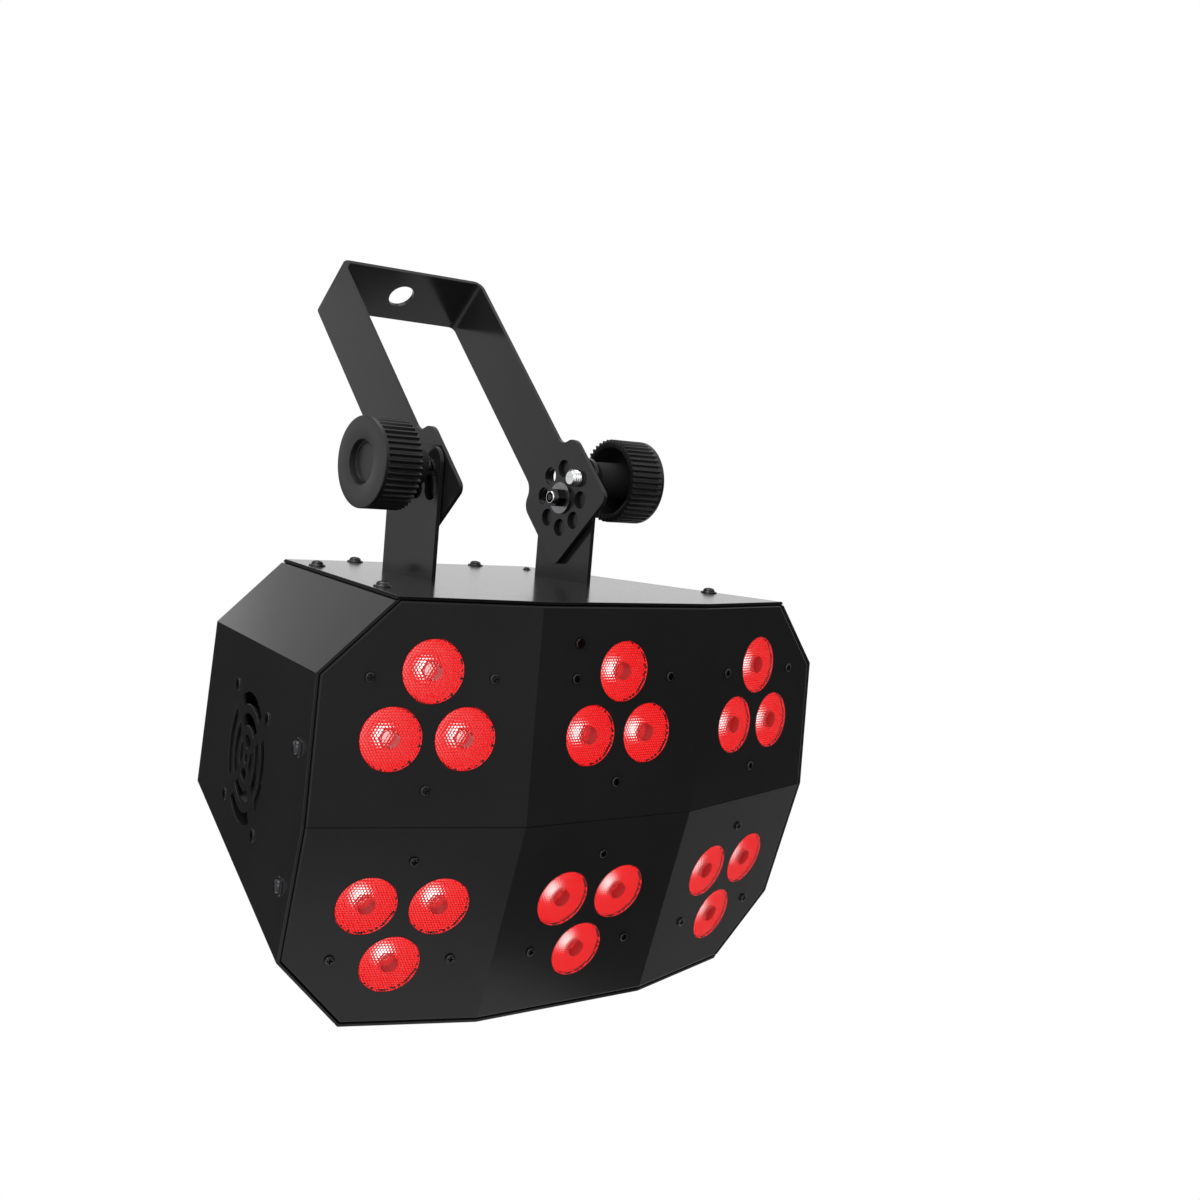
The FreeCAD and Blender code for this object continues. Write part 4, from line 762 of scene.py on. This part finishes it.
def screw_seats(node, out, one_side):
    """Where each screw of a node sits, with out as the way that its head points."""
    across = out.cross(Vector((0, 1, 0))).normalized()
    along = out.cross(across)
    groups = []
    for vertex in nodes[node].data.vertices:
        if one_side and vertex.co.x * out.x < 0:
            continue
        here = Vector((vertex.co.dot(across), vertex.co.dot(along), vertex.co.dot(out)))
        for group in groups:
            if (group[0] - here).xy.length < 2 * SCREW_REACH:
                group.append(here)
                break
        else:
            groups.append([here])
    seats = []
    for group in groups:
        lows = [min(point[i] for point in group) for i in range(3)]
        highs = [max(point[i] for point in group) for i in range(3)]
        middle = [(low + high) / 2 for low, high in zip(lows, highs)]
        small = highs[0] - lows[0] < SCREW_REACH
        scale, stand = (SMALL_SCREW, SMALL_STAND) if small else (1.0, 1.0)
        foot = highs[2] - SCREW_HEIGHT * stand
        seat = across * middle[0] + along * middle[1] + out * foot
        seats.append(Matrix.Translation(seat) @ facing(across, out) @ Matrix.Scale(scale, 4))
    return seats


def cover_screws():
    """Screws of the top and bottom plates and the side panels, square to each sheet."""
    model = screw_model()
    rows = {"top_screws": [UP], "bottom_screws": [in_lower_row(UP)],
            "side_screws": [SIDE_OUT, Vector((-SIDE_OUT.x, SIDE_OUT.y, SIDE_OUT.z))]}
    for node, outs in rows.items():
        name = node.replace("screws", "cover_screws")
        copies = [copy_to(model, name, seat) for out in outs
                  for seat in screw_seats(node, out, one_side=len(outs) > 1)]
        finish_piece(join(copies), "housing", node)
    bpy.data.objects.remove(model)


def on_axis(model, piece_name, node_name, centre_node, body):
    """Copies a piece made along Z onto both sides' crosswise axis, mirrored by a half turn."""
    for side, sign in (("right", 1), ("left", -1)):
        low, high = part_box(centre_node.replace("SIDE", side))
        axis = Vector((0, (low[1] + high[1]) / 2, (low[2] + high[2]) / 2))
        turn = Matrix(((0, 0, sign), (0, 1, 0), (-sign, 0, 0))).to_4x4()
        piece = copy_to(model, piece_name + "_" + side, Matrix.Translation(axis) @ turn)
        finish_piece(piece, body.replace("SIDE", side), node_name.replace("SIDE", side))
    bpy.data.objects.remove(model)


bpy.ops.object.select_all(action="DESELECT")
lens_trios()
cover_screws()
on_axis(knob_model(), "knob_grip", "knob_SIDE", "stud_SIDE", "knob_SIDE")
on_axis(stud_model(), "threaded_stud", "stud_SIDE", "stud_SIDE", "knob_SIDE")
on_axis(nut_model(), "pivot_nut", "pivot_nuts", "pivot_nuts", "housing")

# Pressed and sheared edges of the sheet parts catch the light: a narrow rounding on each of them.
SHEET_PARTS = ("top_plate", "bottom_plate", "side_panel_left", "side_panel_right", "back_panel",
               "yoke", "riser_left", "riser_right")
SHEET_ROUNDING = 0.15 * MM
CORNER_GAP = 0.002 * MM
for name in SHEET_PARTS:
    sheet_part = nodes[name]
    weld = sheet_part.modifiers.new("closed_corners", "WELD")
    weld.merge_threshold = CORNER_GAP
    round_edges(sheet_part, SHEET_ROUNDING, degrees=38)
    flats = sheet_part.modifiers.new("flat_faces", "WEIGHTED_NORMAL")
    flats.weight = 100
    flats.keep_sharp = True


# Studio: white all round, a large soft box above and one to the left.
FLOOR_RADIUS = 0.72
FLOOR_DROP = 0.5
SHADOW_RADIUS = 0.1
SHADOW_WHITENESS = 0.7
WHITE_LIGHT = 1.0
FILL_LIGHT = 0.5


def seen_as_white(tree):
    """1 for the rays that meet white: from the camera, off a gloss, or through something clear."""
    path = add(tree, "ShaderNodeLightPath").outputs
    seen = add(tree, "ShaderNodeMath", {"operation": "MAXIMUM"},
               links={0: path["Is Camera Ray"], 1: path["Is Glossy Ray"]}).outputs[0]
    return add(tree, "ShaderNodeMath", {"operation": "MAXIMUM"},
               links={0: seen, 1: path["Is Transmission Ray"]}).outputs[0]


def make_world():
    world = bpy.data.worlds.new("white_studio")
    bpy.context.scene.world = world
    world.use_nodes = True
    tree = world.node_tree
    tree.nodes.clear()
    plain = add(tree, "ShaderNodeBackground", inputs={"Color": WHITE, "Strength": WHITE_LIGHT})
    fill = add(tree, "ShaderNodeBackground", inputs={"Color": WHITE, "Strength": FILL_LIGHT})
    mix = add(tree, "ShaderNodeMixShader",
              links={0: seen_as_white(tree), 1: fill.outputs[0], 2: plain.outputs[0]})
    add(tree, "ShaderNodeOutputWorld", links={"Surface": mix.outputs[0]})


def area_light(name, place, aim, size, power):
    data = bpy.data.lights.new(name, "AREA")
    data.shape = "SQUARE"
    data.size = size
    data.energy = power
    lamp = bpy.data.objects.new(name, data)
    lamp.location = place
    lamp.rotation_mode = "QUATERNION"
    lamp.rotation_quaternion = (Vector(aim) - Vector(place)).to_track_quat("-Z", "Y")
    bpy.context.scene.collection.objects.link(lamp)


def pale_floor():
    """Matt pale floor that keeps a soft shadow in its middle and fades to white at its rim."""
    material = bpy.data.materials.new("pale_floor")
    material.use_nodes = True
    tree = material.node_tree
    tree.nodes.clear()
    place = add(tree, "ShaderNodeTexCoord").outputs["Object"]
    distance = add(tree, "ShaderNodeVectorMath", {"operation": "LENGTH"},
                   links={0: place}).outputs["Value"]
    fade = add(tree, "ShaderNodeMapRange", {"interpolation_type": "SMOOTHSTEP"},
               {"From Min": SHADOW_RADIUS, "From Max": FLOOR_RADIUS,
                "To Min": SHADOW_WHITENESS, "To Max": 1.0},
               {"Value": distance}).outputs["Result"]
    weight = add(tree, "ShaderNodeMath", {"operation": "MULTIPLY"},
                 links={0: seen_as_white(tree), 1: fade}).outputs[0]
    matt = add(tree, "ShaderNodeBsdfDiffuse", inputs={"Color": linear("#ECECEA")})
    white = add(tree, "ShaderNodeEmission", inputs={"Color": WHITE, "Strength": WHITE_LIGHT})
    mix = add(tree, "ShaderNodeMixShader",
              links={0: weight, 1: matt.outputs[0], 2: white.outputs[0]})
    add(tree, "ShaderNodeOutputMaterial", links={"Surface": mix.outputs[0]})
    return material


def felt_card(name, finish, start, end, rise):
    """Upright matt card that shows only as a reflection.

    Its foot runs from start to end, and rise is its range of heights.
    """
    (x0, y0), (x1, y1), (z0, z1) = start, end, rise
    bpy.ops.object.select_all(action="DESELECT")
    bpy.ops.mesh.primitive_plane_add(size=1, location=(0, 0, 0))
    card = bpy.context.object
    card.name = name
    width = math.hypot(x1 - x0, y1 - y0)
    aim = Matrix.Rotation(math.atan2(y1 - y0, x1 - x0), 4, "Z")
    upright = Matrix.Rotation(math.radians(90), 4, "X")
    size = Matrix.Diagonal((width, z1 - z0, 1, 1))
    place = Matrix.Translation(((x0 + x1) / 2, (y0 + y1) / 2, (z0 + z1) / 2))
    card.data.transform(place @ aim @ upright @ size)
    card.data.materials.append(finish)
    card.visible_camera = False


make_world()
bpy.ops.object.select_all(action="DESELECT")
bpy.ops.mesh.primitive_circle_add(vertices=96, radius=FLOOR_RADIUS, fill_type="NGON",
                                  location=(0, 0, cad_low.z - FLOOR_DROP))
floor = bpy.context.object
floor.name = "floor"
floor.data.materials.append(pale_floor())
black_felt = speckled("black_felt_card", "#202020", "#181818", 2.0, 0.9, 1.0)
grey_felt = speckled("grey_felt_card", "#CFCFCF", "#C2C2C2", 2.0, 0.9, 1.0)
CARDS = [("back_card", black_felt, (-0.85, 1.3), (0.75, 1.3), (-1.5, -0.16)),
         ("high_back_card", grey_felt, (-1.6, 1.3), (0.75, 1.3), (0.2, 1.4)),
         ("front_right_card", black_felt, (1.9, -0.45), (0.75, -1.65), (-0.62, 0.3)),
         ("front_card", grey_felt, (0.7, -1.7), (-0.75, -1.95), (-1.8, 0.7)),
         ("low_front_card", black_felt, (1.41, -0.97), (0.6, -1.81), (-1.8, -0.62)),
         ("low_right_card", grey_felt, (2.3, -0.04), (1.41, -0.97), (-1.8, -0.62))]
for name, finish, start, end, rise in CARDS:
    felt_card(name, finish, start, end, rise)
middle = (cad_low + cad_high) / 2
area_light("top_soft_box", middle + Vector((-0.3, 0.2, 1.6)), middle, size=1.2, power=12.0)
area_light("left_soft_box", middle + Vector((-1.5, -0.9, 0.7)), middle, size=0.9, power=7.0)

scene = bpy.context.scene
scene.view_settings.view_transform = "Standard"
